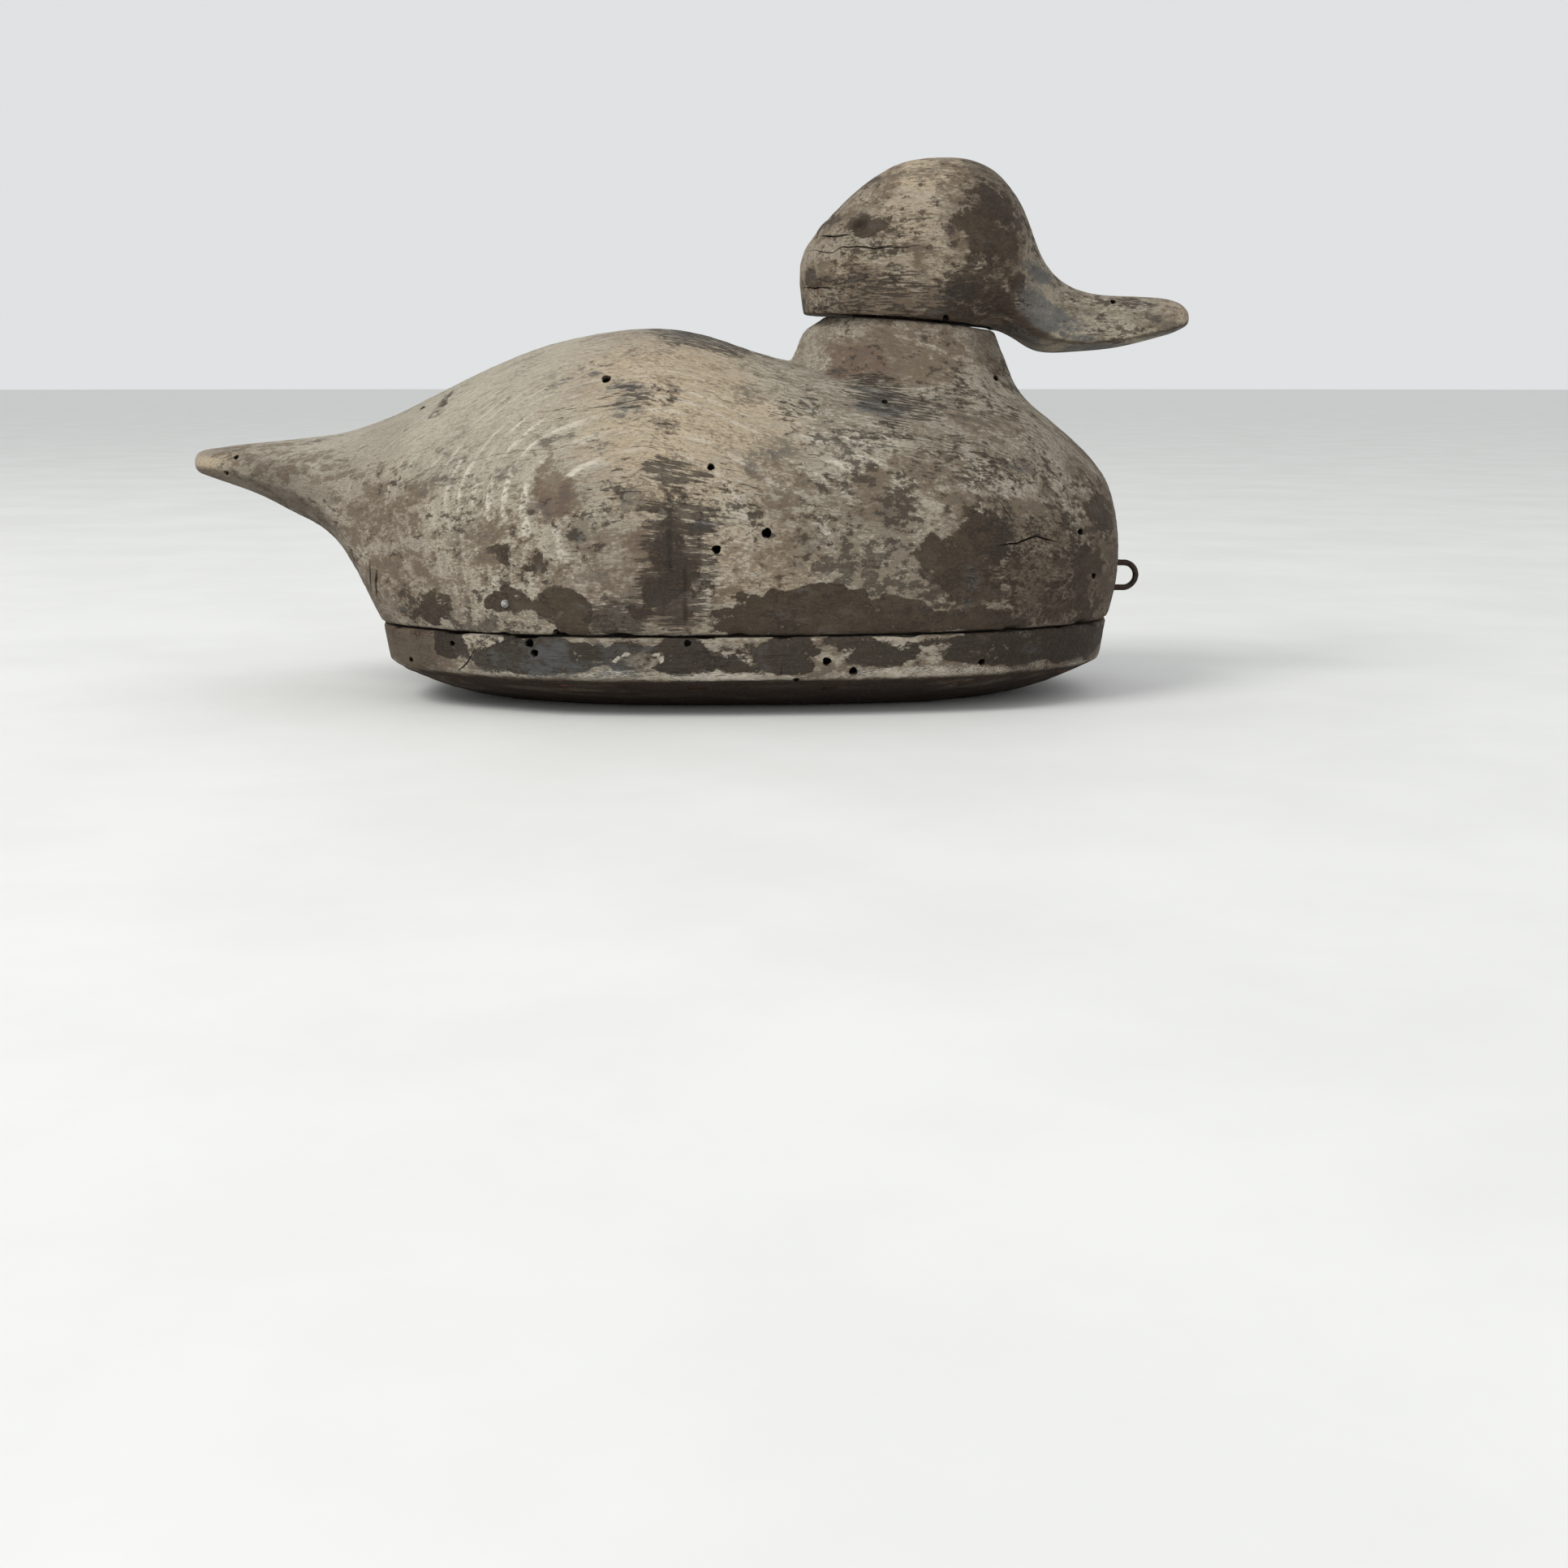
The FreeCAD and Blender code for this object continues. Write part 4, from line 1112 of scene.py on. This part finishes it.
HEAD_RED = [(112, 170, 12, 20, 10, 1.0), (88, 176, 14, 18, 0, 0.7)]
HEAD_DASH = [(84, 146, 40, 10, -4, 1.0)]
BILL_BLUE = [(129, 143, 11, 7, -24, 1.1), (142, 139, 12, 5, -20, 0.62), (128, 154, 8, 8, -40, 0.6)]


def head_wear(points, facing):
    """What the material reads: paint and stains on the head, painted shade under the bill and chin, and a
    bare, greenish bill.
    """
    x, y, z = points.T
    down = facing[:, 2]
    bill = fade(x, 120, 134)
    near_x, near_z = astray(points, 5, (13, 9, 9), 601)
    paint = on_each_side(y, near_x, near_z, HEAD_PAINT) * (1 - bill)
    knot = np.hypot((x - KNOT_HOLE[0]) / 3.6, (z - KNOT_HOLE[1]) / 3.0)
    dirt_and_shade = strongest(
        # Darker along the bottom of the head above the neck, and towards its front
        0.46 * fade(z, NECK.z + 9, NECK.z - 1) * (1 - bill) * fade(x, 60, 96),
        0.42 * fade(x, 92, 116) * (1 - bill),
        # Painted shade on faces that turn partly down, under the bill and the front of the head
        0.95 * fade(np.abs(down + 0.42), 0.38, 0.12) * fade(x, 106, 116),
        # Dark inside the knot hole
        0.92 * fade(knot, 1.3, 0.5) * fade(y, 6, -6),
    )
    chin = fade(down, -0.5, -0.75) * fade(x, 108, 120)
    tan = strongest(blobs(x, z, HEAD_TAN), 0.7 * fade(x, 180, 188), 0.55 * bill * fade(z, 139, 135))
    speck = 0.56 + 0.1 * fade(x, 90, 112) - 0.1 * bill
    speck += 0.08 * blobs(x, z, HEAD_SPECKS)
    return {
        "paint": paint,
        "green": np.maximum(0.45 * (1 - bill), 0.8 * bill * fade(x, 186, 172)),
        "tan": tan,
        "speck": speck,
        "dirt_and_shade": dirt_and_shade,
        "red": 0.52 * blobs(x, z, HEAD_RED),
        "pale": 0.1 + 0.14 * bill,
        "lines": np.full(len(x), 0.2),
        "blue": np.maximum(blobs(near_x, near_z, BILL_BLUE), 0.6 * chin),
        "brown": np.maximum(blobs(near_x, near_z, HEAD_BROWN) * (1 - bill), 0.36),
        "dash": 0.24 + 0.24 * blobs(x, z, HEAD_DASH),
        "shade": np.zeros(len(x)),
    }


def head():
    piece = carved_copy("head", "weathered_head_block", HEAD_GRAIN)
    points = coordinates(piece.data) / MM
    displace(piece, head_relief(points))
    whole = cut(piece, HEAD_HOLES, HEAD_CRACKS)
    points = coordinates(piece.data) / MM
    ring = growth_ring(points, HEAD_PITH, 91)
    set_wear(piece, whole, points, ring, head_wear(points, normals(piece.data)))
    finish_mesh(piece, weathered_wood("weathered_head", HEAD_WOOD), "head", "head")


# ------------------------ small pieces

WIRE_SIDES = 16
WIRE_STEPS = 26  # along each leg
BEND_STEPS = 22  # round the bend
WIRE_WEAR = 0.16  # most that rust takes off the radius, as a share
PELLET_WEAR = 0.12
BALLAST_GRAIN = 0.7 * MM


def line_tie_staple():
    """The bent wire, pitted by rust where it stands out of the breast."""
    low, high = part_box("line_tie_staple")
    radius = high.y
    bend = (high.z - low.z) / 2 - radius
    level = (high.z + low.z) / 2
    turn = high.x - radius - bend
    leg = turn - low.x
    path = [Vector((low.x + leg * k / WIRE_STEPS, 0, level + bend)) for k in range(WIRE_STEPS)]
    for k in range(BEND_STEPS + 1):
        angle = math.pi * (0.5 - k / BEND_STEPS)
        path.append(Vector((turn + bend * math.cos(angle), 0, level + bend * math.sin(angle))))
    path += [Vector((turn - leg * (k + 1) / WIRE_STEPS, 0, level - bend)) for k in range(WIRE_STEPS)]
    bm = bmesh.new()
    rings = []
    for k, place in enumerate(path):
        along = (path[min(k + 1, len(path) - 1)] - path[max(k - 1, 0)]).normalized()
        beside = Vector((0, 1, 0))
        out = along.cross(beside)
        wear = WIRE_WEAR if place.x > BREAST - 2 * MM else 0
        ring = []
        for n in range(WIRE_SIDES):
            angle = 2 * math.pi * n / WIRE_SIDES
            spoke = (beside * math.cos(angle) + out * math.sin(angle)) * radius
            spot = np.array([(place + spoke) / MM])
            ring.append(bm.verts.new(place + spoke * (1 - wear * float(layered(spot, 1.1, 101, 2)[0]))))
        rings.append(ring)
    tube(bm, rings)
    bmesh.ops.recalc_face_normals(bm, faces=bm.faces)
    piece = new_piece("bent_wire_loop", bm)
    material = rusty_iron("rusted_wire", srgb(44, 36, 31), srgb(72, 56, 44))
    finish_mesh(piece, material, "body", "line_tie_staple")


def lead_pellet():
    """The pellet, dented and rough with white bloom."""
    low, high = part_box("lead_pellet")
    middle, radius = (low + high) / 2, (high.x - low.x) / 2
    bm = bmesh.new()
    bmesh.ops.create_icosphere(bm, subdivisions=4, radius=radius)
    for vertex in bm.verts:
        spot = np.array([vertex.co / MM])
        vertex.co *= 1 - PELLET_WEAR * float(layered(spot, 1.3, 111, 3)[0])
        vertex.co += middle
    piece = new_piece("bloomed_pellet", bm)
    finish_mesh(piece, old_lead("bloomed_lead", 0.2), "body", "lead_pellet")


def ballast_weight():
    """The lead, hammered into its pocket: dented faces and softened edges."""
    piece = carved_copy("ballast_weight", "hammered_ballast_weight", BALLAST_GRAIN)
    points = coordinates(piece.data) / MM
    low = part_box("ballast_weight")[0].z / MM
    dents = layered(points, 8.5, 121, 2) - 0.5
    displace(piece, -0.6 * np.abs(dents) * fade(points[:, 2], low + 2, low + 0.4) - 0.03)
    finish_mesh(piece, old_lead("oxidised_lead", 0.06), "body", "ballast_weight")


def finish_cad_nodes():
    """Materials for the pieces whose CAD shape is already right."""
    iron = rusty_iron("rusted_iron", srgb(58, 38, 28), srgb(104, 66, 44), 520)
    leather = dry_leather("washer_leather")
    finishes = {
        "seam_caulk": dried_caulk("dried_caulk"),
        "neck_dowel": dowel_wood("dowel_wood"),
        "neck_washer": leather,
        "retaining_washer": leather,
        "dowel_pin": iron,
        "bottom_nails": iron,
        "ballast_nails": iron,
    }
    for node, material in finishes.items():
        mesh = frame["nodes"][node].data
        mesh.materials.clear()
        mesh.materials.append(material)


# ------------------------ camera, floor and light

CAMERA_PLACE = (0.03655, -0.7595, 0.1178)
CAMERA_PITCH = 78.32  # degrees from straight down
CAMERA_LENS = 44.72  # mm, on a sensor of CAMERA_SENSOR
CAMERA_SENSOR = 36
FLOOR_RADIUS = 30
SKY_COLOUR = (0.93, 0.95, 0.96, 1)
SKY_STRENGTH = 0.8
LIGHT_TARGET = Vector((0, 0, 0.09))  # the middle of the decoy

# Each light's place, size, power in watts and colour
LIGHTS = {
    "window": ((-1.4, -1.1, 1.8), 1.2, 34, (1.0, 0.99, 0.96)),
    "fill": ((1.6, -1.2, 1.2), 1.6, 3, (0.95, 0.97, 1.0)),
}


def camera():
    data = bpy.data.cameras.new("camera")
    data.lens = CAMERA_LENS
    data.sensor_width = CAMERA_SENSOR
    data.clip_end = 100
    view = add_object("camera", data)
    view.location = CAMERA_PLACE
    view.rotation_euler = (math.radians(CAMERA_PITCH), 0, 0)
    bpy.context.scene.camera = view


def floor():
    bm = bmesh.new()
    bmesh.ops.create_circle(bm, cap_ends=True, segments=96, radius=FLOOR_RADIUS)
    piece = new_piece("pale_floor", bm)
    g = Graph("pale_floor")
    speckle = g.noise(g.place(), 9, 5, 0.6)
    shade = g.mix(g.fade(speckle, 0.3, 0.7), srgb(222, 222, 219), srgb(228, 228, 226))
    piece.data.materials.append(g.surface(shade, 0.7))


def area_light(name, place, size, power, colour):
    data = bpy.data.lights.new(name, "AREA")
    data.shape = "DISK"
    data.size = size
    data.energy = power
    data.color = colour
    lamp = add_object(name, data)
    lamp.location = place
    lamp.rotation_euler = (LIGHT_TARGET - Vector(place)).to_track_quat("-Z", "Y").to_euler()


def studio():
    world = bpy.data.worlds.new("studio")
    world.use_nodes = True
    background = world.node_tree.nodes["Background"]
    background.inputs["Color"].default_value = SKY_COLOUR
    background.inputs["Strength"].default_value = SKY_STRENGTH
    bpy.context.scene.world = world
    for name, settings in LIGHTS.items():
        area_light(name, *settings)
    bpy.context.scene.view_settings.view_transform = "Standard"


camera()
floor()
studio()
body_block()
bottom_board()
head()
line_tie_staple()
lead_pellet()
ballast_weight()
finish_cad_nodes()
